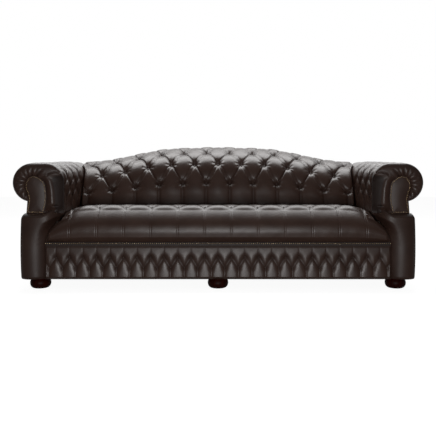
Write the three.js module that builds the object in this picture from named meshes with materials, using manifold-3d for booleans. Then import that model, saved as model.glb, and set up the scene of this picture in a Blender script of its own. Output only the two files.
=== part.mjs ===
// Camelback sofa with scroll arms, deep-buttoned leather, nailed trim and bun feet.
// Millimetres. The front faces -Y, +X is to the right of someone who looks at the front, and +Z is up.
// The origin is on the floor, at the middle of the footprint.

import * as THREE from "three";
import Module from "manifold-3d";

// Overall size
const sofaWidth = 2490;
const sofaDepth = 950;
const crestHeight = 872;
const armHeight = 760;
const seatRowHeight = 475;

// Clearances between pieces that touch, and between padded pieces
const seamGap = 0.3;
const softGap = 0.6;
const paddingEase = 4;
const weldTolerance = 0.0001;

// Buttoning
const buttonPitch = 163;
const backPuffRise = 40;
const seatPuffRise = 27;
const seatNoseRise = 22;
const armPuffRise = 28;
const borderPuffRise = 11;

// Camel hump of the back crest
const humpFlatHalf = 250;
const humpFootInset = 265;

// Feet
const footRadius = 63;
const footHeight = 60;
const footInsetFront = 82;
const footInsetRear = 150;
const footInsetSide = 159;

// Frame boards
const boardThickness = 30;
const railHeight = 222;
const cornerBlockSize = 88;
const cornerBlockHeight = 60;
const crossRailOffset = 420;
const crossRailHeight = 120;
const dustCoverThickness = 1.2;
const dustCoverMargin = 4;

// Nails
const nailPitch = 12.2;
const nailDome = 2.6;
const nailStripThickness = 1.4;
const nailStripWidth = 10;
const nailInset = 9;

// Front border with its diamonds
const borderCrease = 22;
const borderThickness = 12;
const nailBandHeight = 14.8;
const borderButtonHighDrop = 77;
const borderButtonLowRise = 68.5;
const borderFadeReach = 14;

// Arm base, the padded plinth under each facing
const armBaseInset = 59;
const armBaseWidth = 141;
const armBaseHeight = 453;
const armBaseDepth = 46;
const armBaseBulge = 14;
const armBaseShoulder = 14;

// Arm section: a scroll outside, a smaller roll inside and a flat top between
const scrollRadius = 117;
const innerRollRadius = 100;
const armWidth = 302;
const armFootDrop = 75;
const armFootLean = 13;
const armCoverThickness = 26;
const armCoverFront = 110;
const armFirstButton = 197;
const armFirstRowDrop = 60;
const armRowPitch = 69;
const armRows = 4;

// Facing panel and the gathered border round it
const facingInset = 75;
const facingWidth = 130;
const facingGap = 3.5;
const facingTopDrop = 75;
const facingThickness = 6;
const borderBulge = 14;
const borderWrap = 30;
const borderLap = 12;
const borderEase = 4;
const facingSeam = 3.5;
const frontBoardInset = 115;
const neckFlare = 13;
const frontBoardThickness = 24;

// Arm rails and the outside arm
const armTopRailWidth = 75;
const armTopRailHeight = 26;
const armTopRailInset = 110;
const armTackRailInset = 199;
const armTackRailHeight = 60;
const armTackRailRise = 16.2;
const outsideArmInset = 94.7;
const outsideArmThickness = 5;
const outsideArmTopDrop = 215;

// Seat
const seatFrontGap = 3;
const seatArmTuck = 9;
const seatEndRear = 50;
const seatTuckDrop = 23;
const seatTuckRun = 50;
const seatBackGap = 8;
const seatCoverThickness = 30;
const seatLipDepth = 28;
const seatFrontDrop = 83;
const seatShoulderDepth = 46;
const seatShoulderDrop = 25;
const seatNoseDepth = 88;
const seatNoseDrop = 3;
const seatFirstRowDepth = 132;
const seatFallReach = 342;
const springWire = 4;
const springPitch = 230;
const springSwing = 46;
const springKnee = 18;
const springFrontLap = 3.3;
const springLap = 20;
const springMargin = 125;
const hessianThickness = 2;
const seatHessianGap = 13;

// Back: the places of its buttoned surface.
// Each is a reach in from the rear plane and a drop from the crest's height at the middle.
const backSideGap = 5;
const backTuckReach = 376;
const backTuckDrop = 37;
const backRowLowReach = 337;
const backRowLowDrop = 258.5;
const backRowMiddleReach = 258;
const backRowMiddleDrop = 135;
const backRowHighReach = 178;
const backRowHighDrop = 66;
const backRowCrestReach = 96;
const backRowCrestDrop = 37;
const backRollReach = 37;
const backRollDrop = 86;
const backHemReach = 47.8;
const backHemDrop = 156;
const backCoverThickness = 30;
const backFrameReach = 108;
const crestRailTopDrop = 107;
const crestRailEndHeight = 53;
const backTackRailRise = 51.2;
const backTackRailHeight = 60;
const backUprightWidth = 70;
const backUprightOffset = 470;
const outsideBackThickness = 5;
const outsideBackMargin = 17;
const hemCover = 4;

// Counts
const puffStepsPerButton = 4;
const borderStepsPerButton = 4;
const seatRows = 5;
const springBends = 8;
const coreColumns = 12;
const camelSteps = 24;
const arcSteps = 8;
const armCoreSteps = 28;
const armBaseSteps = 6;
const borderSteps = 30;
const facingSteps = 36;
const footSides = 12;

// Angles, in radians
const scrollTuckTurn = 1.32;

// Shares and powers, chosen by hand
const puffRoundness = 0.55;
const shoulderPower = 4;
const humpPlateauShare = 0.93;
const lowDropShare = 0.66;
const middleDropShare = 0.86;
const highDropShare = 0.84;
const rollDropShare = 1;
const seatLeastShare = 0.12;
const seatFallPower = 3;
const seatFallRoundness = 0.59;
const borderCrownShare = 0.5;
const backPaddingEndShare = 0.62;
const tieWireShares = [0.33, 0.67];

// Shares, chosen by hand, of the sizes that the outlines follow.
// Facing panel: across from the inner edge, and up from the bottom edge.
const facingOutlineShares = [
  [0.14, 0], [0.093, 0.108], [0.042, 0.191], [0.014, 0.321], [0, 0.431], [0.018, 0.56], [0.042, 0.7],
  [0.093, 0.811], [0.196, 0.889], [0.3, 0.93], [0.421, 0.968], [0.603, 1], [0.799, 0.973], [0.925, 0.889],
  [0.985, 0.8], [1, 0.728], [0.981, 0.65], [0.93, 0.593], [0.864, 0.488], [0.822, 0.377], [0.835, 0.3],
  [0.864, 0.191], [0.925, 0],
];
// Foot: radius as a share of the foot's radius, height as a share of its height.
const footProfileShares = [
  [0, 0], [0.66, 0], [0.86, 0.12], [0.98, 0.36], [1, 0.55], [0.93, 0.8], [0.8, 1], [0, 1],
];

const wasm = await Module();
wasm.setup();

// Places across, as distances from the middle
const sofaHalf = sofaWidth / 2;
const armInnerFace = sofaHalf - armWidth;
const armBaseOuter = sofaHalf - armBaseInset;
const armBaseInner = armBaseOuter - armBaseWidth;
const facingOuter = sofaHalf - facingInset;
const facingInner = facingOuter - facingWidth;
const frontBoardOuter = sofaHalf - frontBoardInset;
const armTopRailOuter = sofaHalf - armTopRailInset;
const armTackRailInner = sofaHalf - armTackRailInset;
const outsideArmInner = sofaHalf - outsideArmInset;
const backPostInner = armTackRailInner;
const backHalfWidth = armInnerFace - backSideGap;
const seatHalfFront = armBaseInner - seatFrontGap;
const seatHalfDeck = armInnerFace + seatArmTuck;
const seatHessianHalf = armInnerFace - seatHessianGap;
const seatFallStart = seatHalfFront - seatFallReach;
const humpFootHalf = sofaHalf - humpFootInset;
const footOffset = sofaHalf - footInsetSide;

// Depths, counted back from the front plane
const backFrameFront = sofaDepth - backFrameReach;
const seatTuckDepth = sofaDepth - backTuckReach - seatBackGap;
const seatRowPitch = (seatTuckDepth - seatTuckRun - seatFirstRowDepth) / (seatRows - 1);
const springRear = backFrameFront + springLap;

// Places that follow from the sizes
const frontPlane = -sofaDepth / 2;
const baseBottom = footHeight;
const railLevel = baseBottom + dustCoverThickness + 2 * seamGap;
const railTop = railLevel + railHeight;
const borderTop = railTop - nailBandHeight;
const borderButtonHighLevel = borderTop - borderButtonHighDrop;
const borderButtonLowLevel = baseBottom + borderButtonLowRise;
const armTackRailLevel = railTop + armTackRailRise;
const backTackRailBottom = railTop + backTackRailRise;
const backTackRailTop = backTackRailBottom + backTackRailHeight;
const crestRailTop = crestHeight - crestRailTopDrop;
const crestRailBottom = crestRailTop - (crestHeight - armHeight) - crestRailEndHeight;
const backHemHeight = crestHeight - backHemDrop;
const facingBottom = armBaseHeight + facingGap;
const facingTop = armHeight - facingTopDrop;
const outsideArmTop = armHeight - outsideArmTopDrop;
const armFoot = seatRowHeight - armFootDrop;
const frontRailFront = borderCrease + borderThickness + seamGap;
const frontRailRear = frontRailFront + boardThickness;
const springFront = frontRailRear - springFrontLap;
const backFrameRear = backFrameFront + boardThickness;
const backPaddingRear = backFrameFront - hessianThickness - 2 * seamGap;
const tackRailRear = backFrameFront + boardThickness / 2;
const armRear = backFrameRear;
const frontBoardFront = armBaseDepth + seamGap;
const frontBoardRear = frontBoardFront + frontBoardThickness;
const facingFront = armBaseDepth - facingThickness;
const borderCrown = facingFront - borderBulge;
const borderHalf = armBaseInner - softGap;
const scrollCentre = sofaHalf - scrollRadius;
const scrollCentreHeight = armHeight - scrollRadius;
const innerRollCentre = armInnerFace + innerRollRadius;
const innerRollHeight = armHeight - innerRollRadius;
const armFirstRow = innerRollHeight - armFoot - armFirstRowDrop;
const armTopRailTop = scrollCentreHeight - scrollRadius + armPuffRise + armCoverThickness;
const seatLip = railTop + softGap;
const seatHessianTop = railTop + springWire + hessianThickness + 2 * seamGap;
const rightAndLeft = [["right", 1], ["left", -1]];

// Depths are counted back from the front plane
const depthAt = (depth) => frontPlane + depth;

// Materials
function leather() {
  return new THREE.MeshStandardMaterial({ color: 0x2f211d, roughness: 0.42, metalness: 0 });
}

function hardwood() {
  return new THREE.MeshStandardMaterial({ color: 0xb08a5c, roughness: 0.7, metalness: 0 });
}

function darkWood() {
  return new THREE.MeshStandardMaterial({ color: 0x1c0c08, roughness: 0.35, metalness: 0 });
}

function antiqueBrass() {
  return new THREE.MeshStandardMaterial({ color: 0x8a6a3c, roughness: 0.38, metalness: 1 });
}

function springSteel() {
  return new THREE.MeshStandardMaterial({ color: 0x8b8f94, roughness: 0.4, metalness: 1 });
}

function padding() {
  return new THREE.MeshStandardMaterial({ color: 0xe6dcc4, roughness: 0.95, metalness: 0 });
}

function hessian() {
  return new THREE.MeshStandardMaterial({ color: 0xb79a6b, roughness: 0.95, metalness: 0 });
}

function blackCloth() {
  return new THREE.MeshStandardMaterial({ color: 0x151515, roughness: 0.95, metalness: 0 });
}

// One named mesh
function piece(name, geometry, material) {
  const mesh = new THREE.Mesh(geometry, material);
  mesh.name = name;
  return mesh;
}

// A board between two corners
function board(name, from, to, material) {
  const size = new THREE.Vector3().subVectors(to, from);
  const geometry = new THREE.BoxGeometry(size.x, size.y, size.z);
  const middle = new THREE.Vector3().addVectors(from, to).divideScalar(2);
  geometry.translate(middle.x, middle.y, middle.z);
  return piece(name, geometry, material);
}

// A board on one side of the sofa, given by its distances from the middle
function sideBoard(name, side, inner, outer, front, rear, bottom, top, material) {
  const from = new THREE.Vector3(Math.min(side * inner, side * outer), front, bottom);
  const to = new THREE.Vector3(Math.max(side * inner, side * outer), rear, top);
  return board(name, from, to, material);
}

// An upright outline (x across, y up) made into a slab between two depths
function uprightSlab(outline, front, rear) {
  const slab = { depth: rear - front, bevelEnabled: false };
  const geometry = new THREE.ExtrudeGeometry(new THREE.Shape(outline), slab);
  geometry.rotateX(Math.PI / 2);
  geometry.translate(0, rear, 0);
  return geometry;
}

// Turns an outline given by distances from the middle to one side of the sofa
function onSide(outline, side) {
  const turned = outline.map((point) => new THREE.Vector2(side * point.x, point.y));
  return side > 0 ? turned : turned.reverse();
}

// Evenly spaced values from 0 to 1
function evenShares(count) {
  return Array.from({ length: count + 1 }, (_, index) => index / count);
}

// Shared helper for closed shells: a grid of points, rows along across and columns along along
function gridFaces(faces, grid, across, along, first, rises, outward) {
  const at = (i, j) => first + i * along + j;
  for (let i = 0; i + 1 < across; i++) {
    for (let j = 0; j + 1 < along; j++) {
      const [a, b, c, d] = [at(i, j), at(i + 1, j), at(i + 1, j + 1), at(i, j + 1)];
      const alongCrease = rises && rises[i][j] + rises[i + 1][j + 1] > rises[i + 1][j] + rises[i][j + 1];
      const pair = alongCrease ? [[a, b, d], [b, c, d]] : [[a, b, c], [a, c, d]];
      for (const [p, q, r] of pair) {
        faces.push(...(outward ? [p, q, r] : [r, q, p]));
      }
    }
  }
}

// Joins two edges that run the same way but hold different numbers of points
function stitchEdges(faces, upper, lower) {
  let i = 0;
  let k = 0;
  while (i + 1 < upper.length || k + 1 < lower.length) {
    const nextUpper = i + 1 < upper.length ? upper[i + 1].share : Infinity;
    const nextLower = k + 1 < lower.length ? lower[k + 1].share : Infinity;
    if (nextUpper <= nextLower) {
      faces.push(upper[i].index, lower[k].index, upper[i + 1].index);
      i += 1;
    } else {
      faces.push(upper[i].index, lower[k].index, lower[k + 1].index);
      k += 1;
    }
  }
}

// The four edges of a grid, in the order that its outward faces run
function gridEdges(acrossShares, alongShares, first) {
  const along = alongShares.length;
  const last = acrossShares.length - 1;
  const at = (i, j) => first + i * along + j;
  const start = acrossShares.map((share, i) => ({ index: at(i, 0), share }));
  const right = alongShares.map((share, j) => ({ index: at(last, j), share }));
  const end = acrossShares.map((share, i) => ({ index: at(i, along - 1), share: 1 - share })).reverse();
  const left = alongShares.map((share, j) => ({ index: at(0, j), share: 1 - share })).reverse();
  return [start, right, end, left];
}

// A closed shell from two surfaces.
// Each surface is a function of two shares, sampled at its own lists of shares.
function shell(outer, inner) {
  const positions = [];
  const sample = (surface) => surface.across.map((u) => surface.along.map((v) => {
    const found = surface.at(u, v);
    positions.push(found.point.x, found.point.y, found.point.z);
    return found.rise ?? 0;
  }));
  const rises = sample(outer);
  const firstInner = positions.length / 3;
  sample(inner);
  const faces = [];
  gridFaces(faces, outer, outer.across.length, outer.along.length, 0, rises, true);
  gridFaces(faces, inner, inner.across.length, inner.along.length, firstInner, null, false);
  const outerEdges = gridEdges(outer.across, outer.along, 0);
  const innerEdges = gridEdges(inner.across, inner.along, firstInner);
  outerEdges.forEach((edge, index) => stitchEdges(faces, edge, innerEdges[index]));
  return outwardGeometry(positions, faces);
}

// A geometry whose faces point out, whichever way its points were laid
function outwardGeometry(positions, faces) {
  const corner = (index) => new THREE.Vector3().fromArray(positions, index * 3);
  let volume = 0;
  for (let k = 0; k < faces.length; k += 3) {
    const normal = new THREE.Vector3().crossVectors(corner(faces[k + 1]), corner(faces[k + 2]));
    volume += corner(faces[k]).dot(normal);
  }
  if (volume < 0) {
    faces.reverse();
  }
  const geometry = new THREE.BufferGeometry();
  geometry.setAttribute("position", new THREE.Float32BufferAttribute(positions, 3));
  geometry.setIndex(faces);
  geometry.computeVertexNormals();
  return geometry;
}

// A geometry as a solid that can be joined and cut
function solidOf(geometry) {
  const bare = weldedCopy(geometry);
  return new wasm.Manifold(new wasm.Mesh({
    numProp: 3,
    vertProperties: new Float32Array(bare.positions),
    triVerts: new Uint32Array(bare.faces),
  }));
}

// A solid back as a geometry
function geometryOf(solid) {
  const result = solid.getMesh();
  const geometry = new THREE.BufferGeometry();
  geometry.setAttribute("position", new THREE.Float32BufferAttribute(result.vertProperties, 3));
  geometry.setIndex(Array.from(result.triVerts));
  geometry.computeVertexNormals();
  return geometry;
}

// Joins solids that touch or cross into one
function joined(geometries) {
  return geometryOf(geometries.map(solidOf).reduce((sum, solid) => sum.add(solid)));
}

// Cuts one solid out of another
function withoutSolid(geometry, cutter) {
  return geometryOf(solidOf(geometry).subtract(solidOf(cutter)));
}

// The points and faces of a geometry with its doubled points merged
function weldedCopy(geometry) {
  const source = geometry.getAttribute("position");
  const plainOrder = Array.from({ length: source.count }, (_, i) => i);
  const order = geometry.index ? Array.from(geometry.index.array) : plainOrder;
  const seen = new Map();
  const positions = [];
  const renumber = Array.from({ length: source.count }, (_, i) => {
    const point = [source.getX(i), source.getY(i), source.getZ(i)];
    const key = point.map((value) => Math.round(value / weldTolerance)).join(" ");
    if (!seen.has(key)) {
      seen.set(key, positions.length / 3);
      positions.push(...point);
    }
    return seen.get(key);
  });
  const faces = [];
  for (let k = 0; k < order.length; k += 3) {
    const face = [0, 1, 2].map((offset) => renumber[order[k + offset]]);
    if (new Set(face).size === 3) {
      faces.push(...face);
    }
  }
  return { positions, faces };
}

// How far a puff stands out between buttons that alternate from row to row.
// column counts buttons along a row from a button of an even row; row counts rows.
function diamondRise(column, row) {
  const even = Math.floor(row + 1e-9) % 2 === 0;
  const between = row - Math.floor(row + 1e-9);
  const place = column + (even ? 0 : 0.5);
  const one = Math.sin(Math.PI * (place - between / 2));
  const other = Math.sin(Math.PI * (place + between / 2));
  return Math.abs(one * other) ** puffRoundness;
}

// How far a channel's roll stands out between two straight creases
function channelRise(column) {
  return Math.abs(Math.sin(Math.PI * column)) ** (2 * puffRoundness);
}

// Camel hump: how far the crest lies below its middle at a distance from the middle
function crestDrop(x) {
  const reach = THREE.MathUtils.clamp((Math.abs(x) - humpFlatHalf) / (humpFootHalf - humpFlatHalf), 0, 1);
  const shoulder = (1 - humpPlateauShare) * Math.min(1, Math.abs(x) / humpFlatHalf);
  const slope = humpPlateauShare * (1 - Math.cos(Math.PI * reach)) / 2;
  return (crestHeight - armHeight) * Math.min(1, shoulder + slope);
}

// Depths, counted back from the front plane, become places along Y
function spot(x, depth, height) {
  return new THREE.Vector3(x, depthAt(depth), height);
}

// Shares of a span at even steps either side of an anchor, and at both ends of the span
function steppedShares(from, to, anchor, step) {
  const first = Math.ceil((from - anchor) / step + 1 / 2);
  const last = Math.floor((to - anchor) / step - 1 / 2);
  const between = Array.from({ length: last - first + 1 }, (_, index) => anchor + (first + index) * step);
  return [from, ...between, to].map((place) => (place - from) / (to - from));
}

// Rises from nothing at an edge to one at a set distance in from it
function edgeFade(distance, reach) {
  return THREE.MathUtils.clamp(distance / reach, 0, 1);
}

// Back
const backTuckHeight = seatRowHeight - backTuckDrop;
const backBelowRowReach = (backTuckReach + backRowLowReach) / 2;
const backBelowRowHeight = (backTuckHeight + crestHeight - backRowLowDrop) / 2;
const backStations = [
  [backTuckReach, backTuckHeight, 0],
  [backBelowRowReach, backBelowRowHeight, lowDropShare / 2],
  [backRowLowReach, crestHeight - backRowLowDrop, lowDropShare],
  [backRowMiddleReach, crestHeight - backRowMiddleDrop, middleDropShare],
  [backRowHighReach, crestHeight - backRowHighDrop, highDropShare],
  [backRowCrestReach, crestHeight - backRowCrestDrop, rollDropShare],
  [backRollReach, crestHeight - backRollDrop, rollDropShare],
  [backHemReach, backHemHeight, rollDropShare],
];
const backLowRow = 2;
const backCrestRow = 5;
const backLastStation = backStations.length - 1;

// A point of the back's buttoned surface, moved out of it by an offset
function backPoint(x, share, offset) {
  const drop = crestDrop(x);
  const stations = backStations.map(([reach, height, dropShare]) => (
    new THREE.Vector2(sofaDepth - reach, height - dropShare * drop)));
  return sectionPoint(new THREE.SplineCurve(stations), share, offset, x);
}

// A point of a section in depth and height, moved out to the left of the way that the section runs
function sectionPoint(curve, share, offset, x) {
  const place = curve.getPoint(share);
  const heading = curve.getTangent(share);
  return spot(x, place.x - heading.y * offset, place.y + heading.x * offset);
}

function backRise(x, share) {
  const station = share * backLastStation;
  const column = x / buttonPitch + 1 / 2;
  const side = edgeFade(backHalfWidth - Math.abs(x), buttonPitch / puffStepsPerButton);
  const ends = edgeFade(station, 1) * edgeFade(backLastStation - station, 1);
  if (station < backLowRow) {
    return side * ends * channelRise(column);
  }
  if (station > backCrestRow) {
    return side * ends * channelRise(column + 1 / 2);
  }
  return side * diamondRise(column, station - backLowRow);
}

function backCover() {
  const across = (u) => (2 * u - 1) * backHalfWidth;
  const outer = {
    across: steppedShares(-backHalfWidth, backHalfWidth, 0, buttonPitch / puffStepsPerButton),
    along: evenShares(2 * backLastStation),
    at: (u, v) => {
      const rise = backRise(across(u), v);
      return { point: backPoint(across(u), v, backPuffRise * rise), rise };
    },
  };
  const inner = {
    across: evenShares(coreColumns),
    along: evenShares(2 * backLastStation),
    at: (u, v) => ({ point: backPoint(across(u), v, -backCoverThickness) }),
  };
  return piece("back_cover", shell(outer, inner), leather());
}

// The padding fills from the cover's inside to a flat plane in front of the back frame
function backPadding() {
  const half = backHalfWidth - softGap;
  const across = (u) => (2 * u - 1) * half;
  const face = (u, v) => backPoint(across(u), v * backPaddingEndShare, -backCoverThickness - paddingEase);
  const front = {
    across: evenShares(coreColumns),
    along: evenShares(backCrestRow),
    at: (u, v) => ({ point: face(u, v) }),
  };
  const rear = {
    across: evenShares(coreColumns),
    along: evenShares(1),
    at: (u, v) => {
      const point = face(u, v);
      point.y = depthAt(backPaddingRear);
      return { point };
    },
  };
  return piece("back_padding", shell(front, rear), padding());
}

// The camel curve between the arms, lowered from the crest and sampled from the left end to the right end
function camelCurve(half, height) {
  return evenShares(camelSteps).map((share) => {
    const x = (2 * share - 1) * half;
    return new THREE.Vector2(x, height - crestDrop(x));
  });
}

function backHessian() {
  const top = camelCurve(backHalfWidth - softGap, crestRailTop);
  const half = backHalfWidth - softGap;
  const outline = [
    new THREE.Vector2(half, backTackRailBottom),
    new THREE.Vector2(-half, backTackRailBottom),
    ...top,
  ];
  const front = depthAt(backPaddingRear + seamGap);
  return piece("back_hessian", uprightSlab(outline, front, front + hessianThickness), hessian());
}

function crestRail() {
  const half = backHalfWidth - softGap;
  const outline = [
    new THREE.Vector2(half, crestRailBottom),
    new THREE.Vector2(-half, crestRailBottom),
    ...camelCurve(half, crestRailTop),
  ];
  const slab = uprightSlab(outline, depthAt(backFrameFront), depthAt(backFrameRear));
  return piece("crest_rail", slab, hardwood());
}

// The three uprights are halved over the tack rail
function backUprights() {
  return [["left", -backUprightOffset], ["centre", 0], ["right", backUprightOffset]].map(([place, x]) => {
    const half = backUprightWidth / 2;
    const whole = board("upright", spot(x - half, backFrameFront, railTop + seamGap),
      spot(x + half, backFrameRear, crestRailBottom - seamGap), hardwood());
    const notchFrom = spot(x - backUprightWidth, backFrameFront - boardThickness,
      backTackRailBottom - seamGap);
    const notchTo = spot(x + backUprightWidth, tackRailRear + seamGap, backTackRailTop + seamGap);
    const notch = board("notch", notchFrom, notchTo, hardwood());
    return piece(`back_upright_${place}`, withoutSolid(whole.geometry, notch.geometry), hardwood());
  });
}

function backTackRail() {
  const half = backPostInner - seamGap;
  return board("back_tack_rail", spot(-half, backFrameFront, backTackRailBottom),
    spot(half, tackRailRear, backTackRailTop), hardwood());
}

// The outside back covers the frame and the rear ends of both arms
function outsideBack() {
  const scroll = scrollOutline(outsideArmInner, railLevel, scrollRadius - outsideBackMargin,
    innerRollRadius - outsideBackMargin);
  const half = backHalfWidth;
  const hem = camelCurve(half, backHemHeight - hemCover);
  const right = scroll;
  const left = scroll.map((point) => new THREE.Vector2(-point.x, point.y)).reverse();
  const outline = [...right, ...hem.reverse(), ...left];
  const front = depthAt(backFrameRear + seamGap);
  return piece("outside_back", uprightSlab(outline, front, front + outsideBackThickness), leather());
}

// The outline of one arm's end: up the outside, round the scroll, over the top and down the inner roll
function scrollOutline(outside, bottom, outerRadius, innerRadius) {
  const neckTurn = Math.acos((outside - scrollCentre) / outerRadius);
  const arc = (x, height, radius, from, to) => evenShares(arcSteps).map((share) => {
    const turn = THREE.MathUtils.lerp(from, to, share);
    return new THREE.Vector2(x + radius * Math.cos(turn), height + radius * Math.sin(turn));
  });
  return [
    new THREE.Vector2(outside, bottom),
    ...arc(scrollCentre, scrollCentreHeight, outerRadius, -neckTurn, Math.PI / 2),
    ...arc(innerRollCentre, innerRollHeight, innerRadius, Math.PI / 2, Math.PI),
  ];
}

// Arms
// The section of an arm's buttoned surface: up the inside, over the top and round the scroll
function armSection(inset) {
  const innerRadius = innerRollRadius - armPuffRise - inset;
  const outerRadius = scrollRadius - armPuffRise - inset;
  const path = new THREE.Path();
  path.moveTo(innerRollCentre - innerRadius + armFootLean, armFoot);
  path.lineTo(innerRollCentre - innerRadius, innerRollHeight);
  path.absarc(innerRollCentre, innerRollHeight, innerRadius, Math.PI, Math.PI / 2, true);
  path.lineTo(scrollCentre, scrollCentreHeight + outerRadius);
  path.absarc(scrollCentre, scrollCentreHeight, outerRadius, Math.PI / 2, -scrollTuckTurn, true);
  return path;
}

const armSurface = armSection(0);
const armLength = armSurface.getLength();

function armPoint(side, depth, length, offset) {
  const place = armSurface.getPointAt(length / armLength);
  const heading = armSurface.getTangentAt(length / armLength);
  return spot(side * (place.x - heading.y * offset), depth, place.y + heading.x * offset);
}

function armRise(depth, length) {
  const column = (depth - armFirstButton) / buttonPitch;
  const row = (length - armFirstRow) / armRowPitch;
  const lastRow = armRows - 1;
  const step = buttonPitch / puffStepsPerButton;
  const ends = edgeFade(depth - armCoverFront, step) * edgeFade(armRear - depth, step);
  const hems = edgeFade(length, armRowPitch) * edgeFade(armLength - length, armRowPitch);
  if (row < 0) {
    return ends * hems * channelRise(column);
  }
  if (row > lastRow) {
    return ends * hems * channelRise(column + 1 / 2);
  }
  return ends * diamondRise(column, row);
}

function armCover(name, side) {
  const depthOf = (u) => THREE.MathUtils.lerp(armCoverFront, armRear, u);
  const lengthOf = (v) => v * armLength;
  const step = buttonPitch / puffStepsPerButton;
  const outer = {
    across: steppedShares(armCoverFront, armRear, armFirstButton, step),
    along: steppedShares(0, armLength, armFirstRow, armRowPitch / 2),
    at: (u, v) => {
      const rise = armRise(depthOf(u), lengthOf(v));
      return { point: armPoint(side, depthOf(u), lengthOf(v), armPuffRise * rise), rise };
    },
  };
  const inner = {
    across: evenShares(1),
    along: evenShares(armCoreSteps),
    at: (u, v) => ({ point: armPoint(side, depthOf(u), lengthOf(v), -armCoverThickness) }),
  };
  return piece(`arm_cover_${name}`, shell(outer, inner), leather());
}

// The roll's padding fills the cover's inside down to the arm top rail
function armRollPadding(name, side) {
  const inset = armCoverThickness + paddingEase;
  const innerRadius = innerRollRadius - armPuffRise - inset;
  const outerRadius = scrollRadius - armPuffRise - inset;
  const shape = new THREE.Shape();
  shape.moveTo(scrollCentre, scrollCentreHeight - outerRadius);
  shape.absarc(scrollCentre, scrollCentreHeight, outerRadius, -Math.PI / 2, Math.PI / 2, false);
  shape.lineTo(innerRollCentre, innerRollHeight + innerRadius);
  shape.absarc(innerRollCentre, innerRollHeight, innerRadius, Math.PI / 2, Math.PI, false);
  shape.lineTo(innerRollCentre - innerRadius + armFootLean, scrollCentreHeight - outerRadius);
  const outline = onSide(shape.getPoints(arcSteps), side);
  const slab = uprightSlab(outline, depthAt(frontBoardRear + seamGap), depthAt(armRear));
  return piece(`arm_roll_padding_${name}`, slab, padding());
}

function armSidePadding(name, side) {
  const inner = armSurface.getPoint(0).x + armCoverThickness + softGap;
  const outer = armTackRailInner - seamGap;
  return sideBoard(`arm_side_padding_${name}`, side, inner, outer, depthAt(armCoverFront),
    depthAt(backFrameFront - seamGap), armTackRailLevel, armTopRailTop - seamGap, padding());
}

function armTackRail(name, side) {
  return sideBoard(`arm_tack_rail_${name}`, side, armTackRailInner, armTackRailInner + boardThickness,
    depthAt(frontBoardRear + seamGap), depthAt(backFrameFront - seamGap), armTackRailLevel,
    armTackRailLevel + armTackRailHeight, hardwood());
}

function armTopRail(name, side) {
  return sideBoard(`arm_top_rail_${name}`, side, armTopRailOuter - armTopRailWidth, armTopRailOuter,
    depthAt(frontBoardRear + seamGap), depthAt(backFrameRear), armTopRailTop - armTopRailHeight,
    armTopRailTop, hardwood());
}

// The scroll board stands behind the facing and the arm base and carries both
function armFrontBoard(name, side) {
  const scroll = scrollOutline(frontBoardOuter, railLevel, scrollRadius - borderWrap,
    innerRollRadius - borderWrap);
  const inner = armInnerFace + borderWrap;
  const outline = [
    ...scroll,
    new THREE.Vector2(inner, facingBottom),
    new THREE.Vector2(armBaseInner, facingBottom),
    new THREE.Vector2(armBaseInner, railLevel),
  ];
  const slab = uprightSlab(onSide(outline, side), depthAt(frontBoardFront), depthAt(frontBoardRear));
  return piece(`arm_front_board_${name}`, slab, hardwood());
}

// The facing's outline as a smooth curve from its inner foot over the head to its outer foot
function facingCurve(margin) {
  const points = facingOutlineShares.map(([acrossShare, upShare]) => new THREE.Vector2(
    THREE.MathUtils.lerp(facingInner + margin, facingOuter - margin, acrossShare),
    THREE.MathUtils.lerp(facingBottom + margin, facingTop - margin, upShare),
  ));
  return new THREE.SplineCurve(points);
}

function armFacing(name, side) {
  const outline = onSide(facingCurve(0).getSpacedPoints(facingSteps), side);
  const slab = uprightSlab(outline, depthAt(facingFront), depthAt(frontBoardFront - seamGap));
  return piece(`arm_facing_${name}`, slab, leather());
}

// The gathered border rolls from the facing's edge out over the rim of the scroll board
function armFrontBorder(name, side) {
  const edge = facingCurve(-facingSeam);
  const outside = borderSection();
  const between = (v, depth, share) => {
    const near = edge.getPointAt(v);
    const far = outside.getPointAt(v);
    const place = near.lerp(far, share);
    return spot(side * place.x, depth, place.y);
  };
  const roll = [[frontBoardFront - softGap, 0], [borderCrown + borderBulge / 2, borderCrownShare / 2],
    [borderCrown, borderCrownShare], [borderCrown + borderBulge / 2, (1 + borderCrownShare) / 2],
    [frontBoardFront, 1], [armCoverFront - softGap, 1]];
  const outer = {
    across: roll.map((_, index) => index / (roll.length - 1)),
    along: evenShares(borderSteps),
    at: (u, v) => {
      const [depth, share] = roll[Math.round(u * (roll.length - 1))];
      return { point: between(v, depth, share) };
    },
  };
  const rim = [[frontBoardFront - seamGap, 0], [frontBoardFront - seamGap, 1], [armCoverFront - softGap, 1]];
  const inner = {
    across: rim.map((_, index) => index / (rim.length - 1)),
    along: evenShares(borderSteps),
    at: (u, v) => {
      const [depth, reach] = rim[Math.round(u * (rim.length - 1))];
      const near = between(v, depth, 0);
      const far = between(v, depth, 1);
      const length = near.distanceTo(far);
      const thickness = Math.min(borderWrap - borderEase, length / 2);
      return { point: near.lerp(far, reach * (1 - thickness / length)) };
    },
  };
  const gathered = shell(outer, inner);
  const legFront = depthAt(seatEndRear + softGap);
  const legRear = depthAt(armCoverFront - softGap);
  const leg = sideBoard("leg", side, armInnerFace + armFootLean, armBaseInner - softGap, legFront, legRear,
    armTackRailLevel, facingBottom - seamGap, leather());
  const lap = sideBoard("lap", side, armInnerFace + armFootLean, armInnerFace + borderWrap - borderEase,
    depthAt(frontBoardRear + seamGap), legRear, facingBottom - borderLap, facingBottom + borderLap,
    leather());
  return piece(`arm_front_border_${name}`, joined([gathered, leg.geometry, lap.geometry]), leather());
}

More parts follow.
